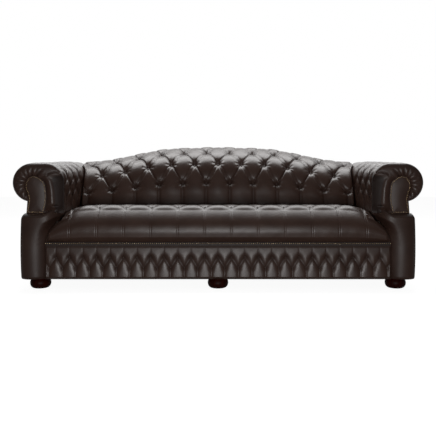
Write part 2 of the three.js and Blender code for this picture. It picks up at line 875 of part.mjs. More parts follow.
// The outside of the border: the arm's full section from the facing's foot to the outer neck
function borderSection() {
  const path = new THREE.Path();
  path.moveTo(armInnerFace, facingBottom);
  path.lineTo(armInnerFace, innerRollHeight);
  path.absarc(innerRollCentre, innerRollHeight, innerRollRadius, Math.PI, Math.PI / 2, true);
  path.lineTo(scrollCentre, armHeight);
  path.absarc(scrollCentre, scrollCentreHeight, scrollRadius, Math.PI / 2, -scrollTuckTurn, true);
  path.lineTo(outsideArmInner + neckFlare, facingBottom);
  return path;
}

// Padded arm base: a plain plinth with a full front and softened shoulders
function armBase(name, side) {
  const place = (u, v) => {
    const shoulder = armBaseShoulder * v ** shoulderPower;
    const half = (armBaseOuter - armBaseInner) / 2 - shoulder / 2;
    const middle = (armBaseOuter + armBaseInner) / 2 - shoulder / 2;
    const height = THREE.MathUtils.lerp(baseBottom + seamGap, armBaseHeight, v);
    return [side * (middle + (2 * u - 1) * half), height];
  };
  const crown = (share) => 1 - Math.abs(2 * share - 1) ** shoulderPower;
  const front = {
    across: evenShares(armBaseSteps),
    along: evenShares(armBaseSteps),
    at: (u, v) => {
      const [x, height] = place(u, v);
      return { point: spot(x, armBaseBulge * (1 - crown(u) * crown(v)), height) };
    },
  };
  const rear = {
    across: evenShares(1),
    along: evenShares(armBaseSteps),
    at: (u, v) => {
      const [x, height] = place(u, v);
      return { point: spot(x, frontBoardFront - seamGap, height) };
    },
  };
  return piece(`arm_base_${name}`, shell(front, rear), leather());
}

function outsideArm(name, side) {
  const outer = outsideArmInner + outsideArmThickness;
  const panel = sideBoard("panel", side, outsideArmInner, outer, depthAt(frontBoardFront + seamGap),
    depthAt(backFrameRear), railLevel, outsideArmTop, leather());
  const notchRear = depthAt(armCoverFront + softGap);
  const notch = sideBoard("notch", side, frontBoardOuter, armBaseOuter, depthAt(0), notchRear,
    facingBottom - softGap, armHeight, leather());
  return piece(`outside_arm_${name}`, withoutSolid(panel.geometry, notch.geometry), leather());
}

// Nails: a strip of pressed heads, each a low four-sided dome, along a run of places
function nailStrip(run, closed, normal) {
  const positions = [];
  const faces = [];
  const count = run.length;
  const links = closed ? count : count - 1;
  run.forEach(({ point, sideways }) => {
    const half = nailStripWidth / 2;
    for (const reach of [-half, half]) {
      const front = point.clone().addScaledVector(sideways, reach);
      const rear = front.clone().addScaledVector(normal, -nailStripThickness);
      positions.push(...front.toArray(), ...rear.toArray());
    }
  });
  const corners = (k) => [0, 1, 2, 3].map((corner) => (k % count) * 4 + corner);
  for (let k = 0; k < links; k++) {
    const [lowFront, lowRear, highFront, highRear] = corners(k);
    const [nextLowFront, nextLowRear, nextHighFront, nextHighRear] = corners(k + 1);
    const apex = positions.length / 3;
    const middle = new THREE.Vector3().addVectors(run[k].point, run[(k + 1) % count].point).divideScalar(2);
    positions.push(...middle.addScaledVector(normal, nailDome).toArray());
    faces.push(lowFront, nextLowFront, apex, nextLowFront, nextHighFront, apex);
    faces.push(nextHighFront, highFront, apex, highFront, lowFront, apex);
    faces.push(lowRear, nextHighRear, nextLowRear, lowRear, highRear, nextHighRear);
    faces.push(lowFront, lowRear, nextLowRear, lowFront, nextLowRear, nextLowFront);
    faces.push(highFront, nextHighRear, highRear, highFront, nextHighFront, nextHighRear);
  }
  if (!closed) {
    const [a, b, c, d] = corners(0);
    const [e, f, g, h] = corners(count - 1);
    faces.push(a, c, d, a, d, b, e, f, h, e, h, g);
  }
  return outwardGeometry(positions, faces);
}

function frontNailTrim() {
  const half = armBaseInner - softGap;
  const nails = Math.round(2 * half / nailPitch);
  const level = (borderTop + railTop) / 2;
  const run = evenShares(nails).map((share) => ({
    point: spot((2 * share - 1) * half, borderCrease - seamGap - nailStripThickness, level),
    sideways: new THREE.Vector3(0, 0, 1),
  }));
  return piece("front_nail_trim", nailStrip(run, false, new THREE.Vector3(0, -1, 0)), antiqueBrass());
}

function facingNailTrim(name, side) {
  const curve = facingCurve(nailInset);
  const head = curve.getSpacedPoints(Math.round(curve.getLength() / nailPitch));
  const [start, end] = [head[head.length - 1], head[0]];
  const footNails = Math.round(start.distanceTo(end) / nailPitch);
  const foot = evenShares(footNails).slice(1, -1).map((share) => start.clone().lerp(end, share));
  const places = [...head, ...foot];
  const run = places.map((place, k) => {
    const before = places[(k + places.length - 1) % places.length];
    const after = places[(k + 1) % places.length];
    const heading = after.clone().sub(before).normalize();
    return {
      point: spot(side * place.x, facingFront - seamGap - nailStripThickness, place.y),
      sideways: new THREE.Vector3(-side * heading.y, 0, heading.x),
    };
  });
  const strip = nailStrip(run, true, new THREE.Vector3(0, -1, 0));
  return piece(`facing_nail_trim_${name}`, strip, antiqueBrass());
}

// Front border with two rows of buttons in diamonds
function borderRise(x, height) {
  const column = x / (buttonPitch / 2);
  const rowPitch = borderButtonHighLevel - borderButtonLowLevel;
  const row = (borderButtonHighLevel - height) / rowPitch;
  const hem = edgeFade(height - baseBottom, borderFadeReach) * edgeFade(borderTop - height, borderFadeReach);
  const side = edgeFade(borderHalf - Math.abs(x), borderFadeReach);
  if (row < 0) {
    return side * hem * channelRise(column);
  }
  if (row > 1) {
    return side * hem * channelRise(column + 1 / 2);
  }
  return side * diamondRise(column, row);
}

function frontBorder() {
  const across = (u) => (2 * u - 1) * borderHalf;
  const heightOf = (v) => THREE.MathUtils.lerp(baseBottom, railTop, v);
  const rowStep = (borderButtonHighLevel - borderButtonLowLevel) / 2;
  const outer = {
    across: steppedShares(-borderHalf, borderHalf, 0, buttonPitch / 2 / borderStepsPerButton),
    along: [...steppedShares(baseBottom, borderTop, borderButtonHighLevel, rowStep)
      .map((share) => share * (borderTop - baseBottom) / (railTop - baseBottom)), 1],
    at: (u, v) => {
      const rise = borderRise(across(u), heightOf(v));
      return { point: spot(across(u), borderCrease - borderPuffRise * rise, heightOf(v)), rise };
    },
  };
  const inner = {
    across: evenShares(1),
    along: evenShares(1),
    at: (u, v) => ({ point: spot(across(u), frontRailFront - seamGap, heightOf(v)) }),
  };
  return piece("front_border", shell(outer, inner), leather());
}

// Seat
const seatFrontStations = [
  [seatLipDepth, seatLip],
  [seatLipDepth, (seatLip + seatRowHeight - seatFrontDrop) / 2],
  [seatLipDepth, seatRowHeight - seatFrontDrop],
  [seatShoulderDepth, seatRowHeight - seatShoulderDrop],
  [seatNoseDepth, seatRowHeight - seatNoseDrop],
];
const seatRowStations = Array.from({ length: seatRows }, (_, row) => [
  seatFirstRowDepth + row * seatRowPitch, seatRowHeight]);
const seatTuckStation = [seatTuckDepth, seatRowHeight - seatTuckDrop];
const seatStations = [...seatFrontStations, ...seatRowStations, seatTuckStation];
const seatFirstRow = seatFrontStations.length;
const seatNose = seatFirstRow - 1;
const seatFrontTop = 2;
const seatLastStation = seatStations.length - 1;
const seatPlaces = seatStations.map(([depth, height]) => new THREE.Vector2(depth, height));
const seatCurve = new THREE.SplineCurve(seatPlaces);
const lastChannel = (Math.floor(seatHalfDeck / buttonPitch - 1 / 2) + 1 / 2) * buttonPitch;

// The seat is as wide as the front border up to its nose, and fits between the arms behind it
function seatAcross(reach, share) {
  const station = share * seatLastStation;
  const half = station < seatNose ? seatHalfFront : seatHalfDeck;
  const beyond = (Math.abs(reach) - lastChannel) / (seatHalfFront - lastChannel);
  return beyond > 0 ? Math.sign(reach) * THREE.MathUtils.lerp(lastChannel, half, beyond) : reach;
}

// How much of its height the seat keeps at a distance from the middle
function seatEndShare(x) {
  const reach = edgeFade(Math.abs(x) - seatFallStart, seatHalfFront - seatFallStart);
  return Math.max(seatLeastShare, (1 - reach ** seatFallPower) ** seatFallRoundness);
}

function seatRise(reach, share) {
  const station = share * seatLastStation;
  const column = reach / buttonPitch + 1 / 2;
  const side = edgeFade(seatHalfFront - Math.abs(reach), buttonPitch / puffStepsPerButton);
  const ends = edgeFade(station, 1) * edgeFade(seatLastStation - station, 1);
  if (station <= seatFirstRow) {
    return side * ends * channelRise(column);
  }
  return side * ends * diamondRise(column, Math.min(station - seatFirstRow, seatRows));
}

function seatPoint(reach, share, offset) {
  const x = seatAcross(reach, share);
  const point = sectionPoint(seatCurve, share, offset, x);
  point.z = seatLip + (point.z - seatLip) * seatEndShare(x);
  const station = share * seatLastStation;
  if (Math.abs(reach) > lastChannel && station <= seatNose) {
    point.y = Math.min(point.y, depthAt(seatEndRear));
  }
  return point;
}

function seatCover() {
  const reachOf = (u) => (2 * u - 1) * seatHalfFront;
  const outer = {
    across: steppedShares(-seatHalfFront, seatHalfFront, 0, buttonPitch / puffStepsPerButton),
    along: [...evenShares(seatFirstRow).map((share) => share * seatFirstRow / seatLastStation),
      ...evenShares(2 * (seatLastStation - seatFirstRow)).slice(1)
        .map((share) => (seatFirstRow + share * (seatLastStation - seatFirstRow)) / seatLastStation)],
    at: (u, v) => {
      const rise = seatRise(reachOf(u), v);
      const offset = v * seatLastStation < seatFirstRow ? seatNoseRise : seatPuffRise;
      return { point: seatPoint(reachOf(u), v, offset * rise), rise };
    },
  };
  const innerHalf = lastChannel + softGap;
  const inner = {
    across: evenShares(coreColumns),
    along: evenShares(seatLastStation),
    at: (u, v) => ({ point: seatPoint((2 * u - 1) * innerHalf, v, -seatCoverThickness) }),
  };
  return piece("seat_cover", shell(outer, inner), leather());
}

// The padding fills from the cover's inside down to the hessian on the springs
function seatPadding() {
  const half = lastChannel - 2 * softGap;
  const firstShare = seatFrontTop / seatLastStation;
  const shareOf = (v) => THREE.MathUtils.lerp(firstShare, 1, v);
  const top = {
    across: evenShares(coreColumns),
    along: evenShares(seatLastStation - seatFrontTop),
    at: (u, v) => ({ point: seatPoint((2 * u - 1) * half, shareOf(v), -seatCoverThickness - softGap) }),
  };
  const bottom = {
    across: evenShares(coreColumns),
    along: evenShares(1),
    at: (u, v) => {
      const point = seatPoint((2 * u - 1) * half, shareOf(v), -seatCoverThickness - softGap);
      point.z = seatHessianTop + seamGap;
      return { point };
    },
  };
  return piece("seat_padding", shell(top, bottom), padding());
}

function seatHessian() {
  return board("seat_hessian", spot(-seatHessianHalf, springFront, seatHessianTop - hessianThickness),
    spot(seatHessianHalf, backFrameFront - softGap, seatHessianTop), hessian());
}

// One sinuous spring as a flat zigzag wire, with its ends on the front and back rails
function sinuousSpring(x) {
  const half = springWire / 2;
  const swing = springSwing / 2;
  const knees = evenShares(springBends).flatMap((share, bend) => {
    const depth = THREE.MathUtils.lerp(springFront + springKnee, springRear - springKnee, share);
    const inward = bend % 2 ? swing : -swing;
    return [-1, 1].map((end) => new THREE.Vector2(inward, depth + end * springKnee / 2));
  });
  const line = [new THREE.Vector2(0, springFront), ...knees, new THREE.Vector2(0, springRear)];
  const edges = [1, -1].map((turn) => line.map((place, k) => {
    const before = line[Math.max(0, k - 1)];
    const after = line[Math.min(line.length - 1, k + 1)];
    const heading = after.clone().sub(before).normalize();
    return new THREE.Vector2(place.x - turn * heading.y * half, place.y + turn * heading.x * half);
  }));
  const outline = [...edges[0], ...edges[1].reverse()];
  const wire = { depth: springWire, bevelEnabled: false };
  const geometry = new THREE.ExtrudeGeometry(new THREE.Shape(outline), wire);
  geometry.translate(x, frontPlane, railTop + seamGap);
  return geometry;
}

function seatSprings() {
  const spaces = Math.floor(2 * (seatHessianHalf - springMargin) / springPitch);
  const offsets = evenShares(spaces).map((share) => (share - 1 / 2) * spaces * springPitch);
  const springs = offsets.map((x) => sinuousSpring(x));
  const reach = offsets[offsets.length - 1] + springSwing / 2;
  const ties = tieWireShares.map((share) => {
    const depth = THREE.MathUtils.lerp(springFront, springRear, share);
    const from = spot(-reach, depth - springWire / 2, railTop + seamGap);
    const to = spot(reach, depth + springWire / 2, railTop + seamGap + springWire);
    return board("tie", from, to, springSteel()).geometry;
  });
  return piece("seat_springs", joined([...springs, ...ties]), springSteel());
}

// Seat frame
function seatFrame() {
  const bottom = railLevel;
  const frontHalf = armBaseInner - seamGap;
  const backHalf = backPostInner - seamGap;
  const sideFront = depthAt(frontBoardRear + seamGap);
  const sideRear = depthAt(backFrameFront - seamGap);
  const rails = [
    board("front_rail", spot(-frontHalf, frontRailFront, bottom), spot(frontHalf, frontRailRear, railTop),
      hardwood()),
    board("back_rail", spot(-backHalf, backFrameFront, bottom), spot(backHalf, backFrameRear, railTop),
      hardwood()),
  ];
  for (const [name, side] of rightAndLeft) {
    const outer = outsideArmInner - seamGap;
    const inner = outer - boardThickness;
    const postTop = armTopRailTop - armTopRailHeight - seamGap;
    rails.push(sideBoard(`side_rail_${name}`, side, inner, outer, sideFront, sideRear, bottom, railTop,
      hardwood()));
    rails.push(sideBoard(`back_post_${name}`, side, backPostInner, outer, depthAt(backFrameFront),
      depthAt(backFrameRear), bottom, postTop, hardwood()));
    const blockOuter = inner - seamGap;
    const blockInner = blockOuter - cornerBlockSize;
    const blockTop = bottom + cornerBlockHeight;
    rails.push(sideBoard(`corner_block_front_${name}`, side, blockInner, blockOuter, sideFront,
      sideFront + cornerBlockSize, bottom, blockTop, hardwood()));
    rails.push(sideBoard(`corner_block_rear_${name}`, side, blockInner, blockOuter,
      sideRear - cornerBlockSize, sideRear, bottom, blockTop, hardwood()));
  }
  for (const [place, x] of [["left", -crossRailOffset], ["centre", 0], ["right", crossRailOffset]]) {
    rails.push(board(`cross_rail_${place}`, spot(x - boardThickness / 2, frontRailRear + seamGap, bottom),
      spot(x + boardThickness / 2, backFrameFront - seamGap, bottom + crossRailHeight), hardwood()));
  }
  return rails;
}

function dustCover() {
  const half = outsideArmInner - seamGap - dustCoverMargin;
  return board("dust_cover", spot(-half, frontBoardFront + dustCoverMargin, baseBottom + seamGap),
    spot(half, backFrameRear - dustCoverMargin, baseBottom + seamGap + dustCoverThickness), blackCloth());
}

function bunFoot(name, x, depth) {
  const profile = footProfileShares.map(([radiusShare, heightShare]) => new THREE.Vector2(
    radiusShare * footRadius, heightShare * footHeight));
  const geometry = new THREE.LatheGeometry(profile, footSides);
  geometry.rotateX(Math.PI / 2);
  geometry.translate(x, depthAt(depth), 0);
  const bare = weldedCopy(geometry);
  return piece(name, outwardGeometry(bare.positions, bare.faces), darkWood());
}

function feet() {
  return [["front", footInsetFront], ["rear", sofaDepth - footInsetRear]].flatMap(([row, depth]) => [
    bunFoot(`foot_${row}_left`, -footOffset, depth),
    bunFoot(`foot_${row}_centre`, 0, depth),
    bunFoot(`foot_${row}_right`, footOffset, depth),
  ]);
}

function arm(name, side) {
  return [
    armFrontBoard(name, side),
    armTopRail(name, side),
    armTackRail(name, side),
    armSidePadding(name, side),
    armRollPadding(name, side),
    armCover(name, side),
    armFrontBorder(name, side),
    armFacing(name, side),
    facingNailTrim(name, side),
    armBase(name, side),
    outsideArm(name, side),
  ];
}

const sofa = new THREE.Group();
sofa.add(
  ...seatFrame(), ...feet(), dustCover(),
  seatSprings(), seatHessian(), seatPadding(), seatCover(),
  crestRail(), ...backUprights(), backTackRail(), backHessian(), backPadding(), backCover(), outsideBack(),
  ...rightAndLeft.flatMap(([name, side]) => arm(name, side)),
  frontBorder(), frontNailTrim(),
);

export default sofa;
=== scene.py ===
"""Camelback sofa with scroll arms, in deep-buttoned dark leather with nailed trim and bun feet.

Lengths are in metres. The front faces -Y, +X is to the right of someone who looks at the front,
and +Z is up. Depths are counted back from the front plane, as an upholsterer measures them.
"""

import logging
import math
from dataclasses import dataclass, field
from enum import Enum
from functools import cache
from typing import Callable, Iterable, Sequence

import bmesh
import bpy
import numpy as np
from mathutils import Matrix, Vector


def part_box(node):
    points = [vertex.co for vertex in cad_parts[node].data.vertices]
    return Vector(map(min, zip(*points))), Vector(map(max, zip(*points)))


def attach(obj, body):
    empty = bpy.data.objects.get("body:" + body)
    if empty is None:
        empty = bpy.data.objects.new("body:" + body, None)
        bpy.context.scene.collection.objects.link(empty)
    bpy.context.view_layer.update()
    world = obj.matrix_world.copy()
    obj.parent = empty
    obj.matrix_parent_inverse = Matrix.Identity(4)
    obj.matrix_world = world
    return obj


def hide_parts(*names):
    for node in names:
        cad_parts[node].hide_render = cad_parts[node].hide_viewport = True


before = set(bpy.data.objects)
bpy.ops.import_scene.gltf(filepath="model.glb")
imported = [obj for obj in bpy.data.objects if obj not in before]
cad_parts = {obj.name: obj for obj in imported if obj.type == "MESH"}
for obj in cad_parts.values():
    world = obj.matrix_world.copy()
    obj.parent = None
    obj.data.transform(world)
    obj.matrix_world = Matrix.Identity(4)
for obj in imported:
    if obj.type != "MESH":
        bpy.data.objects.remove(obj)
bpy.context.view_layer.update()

LOG = logging.getLogger("sofa")
FORWARD = Vector((0, -1, 0))

Array = np.ndarray
Pair = tuple[Array, Array]
Place = Callable[[Array, Array], Pair]
Surface = Callable[[Array, Array, Array], Array]
Socket = bpy.types.NodeSocket
Seats = list[tuple[Vector, Vector]]


class Side(Enum):
    """The two sides of the sofa, as someone who faces it sees them."""

    LEFT = -1
    RIGHT = 1

    @property
    def word(self) -> str:
        """The side's name in the names of nodes and pieces."""
        return self.name.lower()


class GrainAxis(Enum):
    """The way that the grain of a board runs."""

    ACROSS = (0.0, 0.0, 0.0)
    DEPTH = (0.0, 0.0, math.pi / 2)
    UP = (0.0, math.pi / 2, 0.0)


@dataclass(frozen=True)
class SofaSizes:
    """The sizes that several pieces share."""

    half_width: float = 1.245
    depth: float = 0.950
    crest: float = 0.872
    hump_half: float = 0.250
    hump_slope: float = 0.730
    hump_dip: float = 0.07
    arm_height: float = 0.760
    button_pitch: float = 0.163
    buttons_across: int = 12
    base_bottom: float = 0.060
    rail_level: float = 0.0618
    rail_top: float = 0.2838
    seat_lip: float = 0.2844
    seat_rise: float = 0.2176
    seat_end: float = 0.700
    seat_end_reach: float = 0.352
    seat_end_power: float = 0.55
    seat_end_least: float = 0.12
    arm_inner: float = 0.943
    arm_cover_front: float = 0.110
    arm_rear: float = 0.872
    facing_bottom: float = 0.4565
    facing_top: float = 0.685
    facing_inner: float = 1.040
    facing_outer: float = 1.170
    facing_front: float = 0.040
    front_board: float = 0.0463
    base_inner: float = 1.045
    base_outer: float = 1.186
    base_top: float = 0.4562
    scroll_radius: float = 0.117
    scroll_end: float = -1.32
    inner_roll_radius: float = 0.100
    nail_pitch: float = 0.0122

    @property
    def roll_centre(self) -> tuple[float, float]:
        """The middle of an arm's inner roll: its distance from the sofa's middle, and its height."""
        return self.arm_inner + self.inner_roll_radius, self.arm_height - self.inner_roll_radius

    @property
    def scroll_centre(self) -> tuple[float, float]:
        """The middle of an arm's scroll: its distance from the sofa's middle, and its height."""
        return self.half_width - self.scroll_radius, self.arm_height - self.scroll_radius

    def y(self, depth: float | Array) -> float | Array:
        """The place along Y of a depth counted back from the front plane."""
        return depth - self.depth / 2

    def crest_drop(self, x: Array) -> Array:
        """How far the camel hump has fallen.

        Args:
            x: Distances from the middle.

        Returns:
            The fall below the crest at each place.
        """
        reach = np.clip((np.abs(x) - self.hump_half) / self.hump_slope, 0, 1)
        shoulder = self.hump_dip * np.minimum(1, np.abs(x) / self.hump_half)
        slope = (1 - self.hump_dip) * (1 - np.cos(np.pi * reach)) / 2
        return (self.crest - self.arm_height) * np.minimum(1, shoulder + slope)

    def seat_share(self, x: Array) -> Array:
        """How much of its height the seat keeps towards its rounded ends."""
        reach = np.clip((np.abs(x) - self.seat_end) / self.seat_end_reach, 0, 1)
        return np.maximum(self.seat_end_least, (1 - reach**3) ** self.seat_end_power)

    def seat_edge(self, height: Array) -> Array:
        """How far from the middle the seat's rounded end lies at a height."""
        share = np.clip((height - self.seat_lip) / self.seat_rise, self.seat_end_least, 1)
        return self.seat_end + self.seat_end_reach * (1 - share ** (1 / self.seat_end_power)) ** (1 / 3)


SIZES = SofaSizes()


def fade(distance: Array, reach: float) -> Array:
    """Rises smoothly from 0 at an edge to 1 at a set distance in from it.

    Args:
        distance: Distances from the edge.
        reach: The distance at which the value is 1.

    Returns:
        A value from 0 to 1 for each distance.
    """
    share = np.clip(distance / reach, 0, 1)
    return share * share * (3 - 2 * share)


def blend(start: Array | float, end: Array | float, share: Array | float) -> Array | float:
    """The values that lie a share of the way from start to end."""
    return start + (end - start) * share


def centred(count: int, pitch: float) -> list[float]:
    """Places at one pitch, centred on the middle."""
    return [(k - (count - 1) / 2) * pitch for k in range(count)]


def arc(centre: tuple[float, float], radius: float, turns: Iterable[float]) -> list[tuple[float, float]]:
    """The points round a centre at the angles that are given."""
    return [(centre[0] + radius * np.cos(a), centre[1] + radius * np.sin(a)) for a in turns]


def run_along(u: Array, z: Array) -> Array:
    """How far along a line of points each of them lies."""
    return np.concatenate([[0], np.cumsum(np.hypot(np.diff(u), np.diff(z)))])


def station_at(share: Array, rows: Sequence[int]) -> Array:
    """The station at a share of a grid that gives every stretch between stations its own rows."""
    marks = np.concatenate([[0], np.cumsum(rows)]) / sum(rows)
    return np.interp(share, marks, np.arange(len(rows) + 1))


def catmull(stations: Sequence[float | Array], place: Array) -> Pair:
    """A smooth curve through stations, and its slope.

    Args:
        stations: One value, or one value for each place, at every whole number from 0.
        place: Where along the stations the curve is read.

    Returns:
        The curve's values and their rates of change.
    """
    last = len(stations) - 1
    spot = np.clip(place, 0, last - 1e-9)
    index = spot.astype(int)
    t = spot - index
    table = np.array([np.broadcast_to(np.asarray(s, float), place.shape) for s in stations])
    p0, p1, p2, p3 = (table[np.clip(index + k, 0, last), np.arange(place.size)] for k in (-1, 0, 1, 2))
    v0, v1 = (p2 - p0) / 2, (p3 - p1) / 2
    cubic, square = 2 * p1 - 2 * p2 + v0 + v1, -3 * p1 + 3 * p2 - 2 * v0 - v1
    return ((cubic * t + square) * t + v0) * t + p1, (3 * cubic * t + 2 * square) * t + v0


def ripple(x: Array, y: Array, size: float, seed: int) -> Array:
    """Soft irregular waves from -1 to 1, the same each time for a seed.

    Args:
        x: First coordinate.
        y: Second coordinate.
        size: The waves' usual length.
        seed: Which set of waves.

    Returns:
        The waves' height at each point.
    """
    draw = np.random.default_rng(seed)
    total = np.zeros_like(x)
    for _ in range(5):
        turn, phase = draw.uniform(0, 2 * np.pi, 2)
        wave = 2 * np.pi / (size * draw.uniform(0.6, 1.7))
        total += np.sin(wave * (x * np.cos(turn) + y * np.sin(turn)) + phase)
    return total / 5


@dataclass(frozen=True)
class Tufting:
    """How buttoned leather rises between its buttons, whose rows alternate by half a pitch."""

    pitch: float
    last_row: int
    sink: float
    cone: float
    dome: float
    roundness: float = 0.62
    crease: float = 0.007
    crease_width: float = 0.005
    lip: float = 0.007
    pucker: float = 0.0025
    out_of_reach: float = 9.0

    def relief(self, column: Array, row: Array, row_pitch: Array, mirror: Array) -> Pair:
        """How far the leather stands out from the buttons.

        Args:
            column: Places along a row, counted in pitches from a button of row 0.
            row: Places across the rows; below 0 and above the last row are channels.
            row_pitch: The distance between rows at each place.
            mirror: Where it is below 0 the folds lean the other way.

        Returns:
            The relief in metres, and from 0 in the creases to 1 on the puffs.
        """
        t = np.clip(row, 0, self.last_row)
        falling, rising = column + t / 2, column - t / 2
        slant = np.sqrt(1 / self.pitch**2 + 1 / (2 * row_pitch) ** 2)
        diamond = (row >= 0) & (row <= self.last_row)
        scale = np.where(diamond, 1 / slant, self.pitch)
        away_falling = np.abs(falling - np.round(falling)) * scale
        away_rising = np.abs(rising - np.round(rising)) * scale
        nearest = np.full(column.shape, self.out_of_reach)
        angle = np.zeros(column.shape)
        for first in (np.floor(falling), np.ceil(falling)):
            for second in (np.floor(rising), np.ceil(rising)):
                across = (column - (first + second) / 2) * self.pitch
                up = (row - (first - second)) * row_pitch
                real = (first - second >= -0.1) & (first - second <= self.last_row + 0.1)
                away = np.where(real, np.hypot(across, up), self.out_of_reach)
                angle = np.where(away < nearest, np.arctan2(up, across), angle)
                nearest = np.minimum(nearest, away)
        cone = np.exp(-((nearest / self.cone) ** 1.25))
        dome = np.abs(np.sin(np.pi * falling) * np.sin(np.pi * rising)) ** self.roundness
        folded = np.where(mirror < 0, away_falling, away_rising)
        plain = np.where(mirror < 0, away_rising, away_falling)
        lip = self.lip * np.where(diamond, 1.0, 0.6) * (1 - 0.6 * cone)
        groove = self.crease * np.exp(-plain / self.crease_width)
        pair = 0.85 * self.crease * np.exp(-np.abs(folded - lip) / (0.6 * self.crease_width))
        groove = np.where(diamond, groove + pair, np.maximum(groove, pair))
        ring = np.exp(-(((nearest - 0.2 * self.pitch) / (0.09 * self.pitch)) ** 2))
        pucker = self.pucker * np.cos(9 * angle) * ring
        relief = self.sink * (1 - cone) + self.dome * dome - groove * (1 - cone) + pucker
        puff = np.clip((relief + 0.3 * self.sink) / (1.1 * self.sink + self.dome), 0, 1)
        return relief, puff


class MeshWorks:
    """Makes the meshes that all sub-assemblies share."""

    @staticmethod
    def start() -> tuple[bmesh.types.BMesh, bmesh.types.BMLayerItem]:
        """An empty bmesh, and its layer for the puff values."""
        bm = bmesh.new()
        return bm, bm.verts.layers.float.new("puff")

    @staticmethod
    def thicken(piece: bpy.types.Object, thickness: float) -> None:
        """Gives a thin piece its thickness behind its show side."""
        wall = piece.modifiers.new("thickness", "SOLIDIFY")
        wall.thickness, wall.offset = thickness, -1

    @staticmethod
    def add(name: str, mesh: bpy.types.Mesh, smooth: bool = True) -> bpy.types.Object:
        """Puts a mesh into the scene as an object at the origin.

        Args:
            name: The piece's name.
            mesh: Its finished mesh.
            smooth: Whether its faces are shaded as one curved surface.

        Returns:
            The new object.
        """
        mesh.polygons.foreach_set("use_smooth", [smooth] * len(mesh.polygons))
        mesh.update()
        piece = bpy.data.objects.new(name, mesh)
        bpy.context.scene.collection.objects.link(piece)
        return piece

    @staticmethod
    def from_bmesh(name: str, bm: bmesh.types.BMesh, smooth: bool = True) -> bpy.types.Object:
        """Turns a finished bmesh into an object and frees it.

        Args:
            name: The piece's name.
            bm: Its finished bmesh.
            smooth: Whether its faces are shaded as one curved surface.

        Returns:
            The new object.
        """
        mesh = bpy.data.meshes.new(name)
        bm.to_mesh(mesh)
        bm.free()
        return MeshWorks.add(name, mesh, smooth)

    @staticmethod
    def lay_grid(bm: bmesh.types.BMesh, columns: int, rows: int, place: Place, layer: bmesh.types.BMLayerItem,
                 outward: Vector, inside: bool = False) -> list[bmesh.types.BMEdge]:
        """Adds a grid whose points are moved to the places that a surface gives.

        Args:
            bm: The mesh that gets the grid.
            columns: Faces across.
            rows: Faces along.
            place: The surface: two shares of the grid in, points and puff values out.
            layer: The float layer that keeps the puff values.
            outward: A direction that the grid's faces look to on the whole.
            inside: Whether the faces look the other way instead.

        Returns:
            The grid's edges that bound it.
        """
        made = bmesh.ops.create_grid(bm, x_segments=columns, y_segments=rows, size=0.5)["verts"]
        spots = np.array([v.co[:2] for v in made]) + 0.5
        points, puff = place(spots[:, 0], spots[:, 1])
        for vert, point, value in zip(made, points.tolist(), puff.tolist()):
            vert.co = point
            vert[layer] = value
        faces = list({f for v in made for f in v.link_faces})
        total = Vector((0, 0, 0))
        for face in faces:
            face.normal_update()
            total += face.normal * face.calc_area()
        if (total.dot(outward) < 0) != inside:
            bmesh.ops.reverse_faces(bm, faces=faces)
        return [e for e in {e for v in made for e in v.link_edges} if len(e.link_faces) == 1]

    @staticmethod
    def cover(name: str, grid: tuple[int, int], outer: Place, core: tuple[int, int], inner: Place,
              outward: Vector) -> bpy.types.Object:
        """A closed padded cover: a fine outer surface, a plain inner one, and the edge between them.

        Args:
            name: The piece's name.
            grid: Faces across and along the outer surface.
            outer: The outer surface.
            core: Faces across and along the inner surface.
            inner: The inner surface.
            outward: A direction that the outer surface looks to on the whole.

        Returns:
            The finished object.
        """
        bm, layer = MeshWorks.start()
        rim = MeshWorks.lay_grid(bm, *grid, outer, layer, outward)
        hem = MeshWorks.lay_grid(bm, *core, inner, layer, outward, inside=True)
        bmesh.ops.bridge_loops(bm, edges=rim + hem)
        return MeshWorks.from_bmesh(name, bm)

    @staticmethod
    def tufted(name: str, grid: tuple[int, int], place: Place, relief: Place, surface: Surface,
               core: tuple[int, int], core_place: Place, thickness: float, outward: Vector) -> bpy.types.Object:
        """A padded cover whose outer surface stands out by a relief, with a plain inner one.

        Args:
            name: The piece's name.
            grid: Faces across and along the outer surface.
            place: Turns shares of that grid into places on the surface.
            relief: The rise and the puff value at a place.
            surface: The point at a place, moved out by an offset.
            core: Faces across and along the inner surface.
            core_place: Turns shares of the inner grid into places.
            thickness: How far in the inner surface lies.
            outward: A direction that the outer surface looks to on the whole.

        Returns:
            The finished object.
        """

        def outer(u: Array, v: Array) -> Pair:
            """The surface that shows."""
            spot = place(u, v)
            rise, puff = relief(*spot)
            return surface(*spot, rise), puff

        def inner(u: Array, v: Array) -> Pair:
            """The plain surface inside."""
            return surface(*core_place(u, v), np.full(u.shape, -thickness)), u * 0

        return MeshWorks.cover(name, grid, outer, core, inner, outward)

    @staticmethod
    def seats(surface: Surface, spots: Iterable[tuple[float, float]], share: float) -> Seats:
        """Where covered buttons sit on a surface.

        Args:
            surface: The point at a place, moved out by an offset.
            spots: Each button's place on it.
            share: How far out the buttons' feet stand, as a share of 10 mm.

        Returns:
            The middle of each button's foot and the way that it faces.
        """
        places = []
        for spot in spots:
            low, high = (Vector(surface(*np.array([[*spot, offset]]).T)[0]) for offset in (0.0, 0.01))
            places.append((low + (high - low) * share, (high - low).normalized()))
        return places

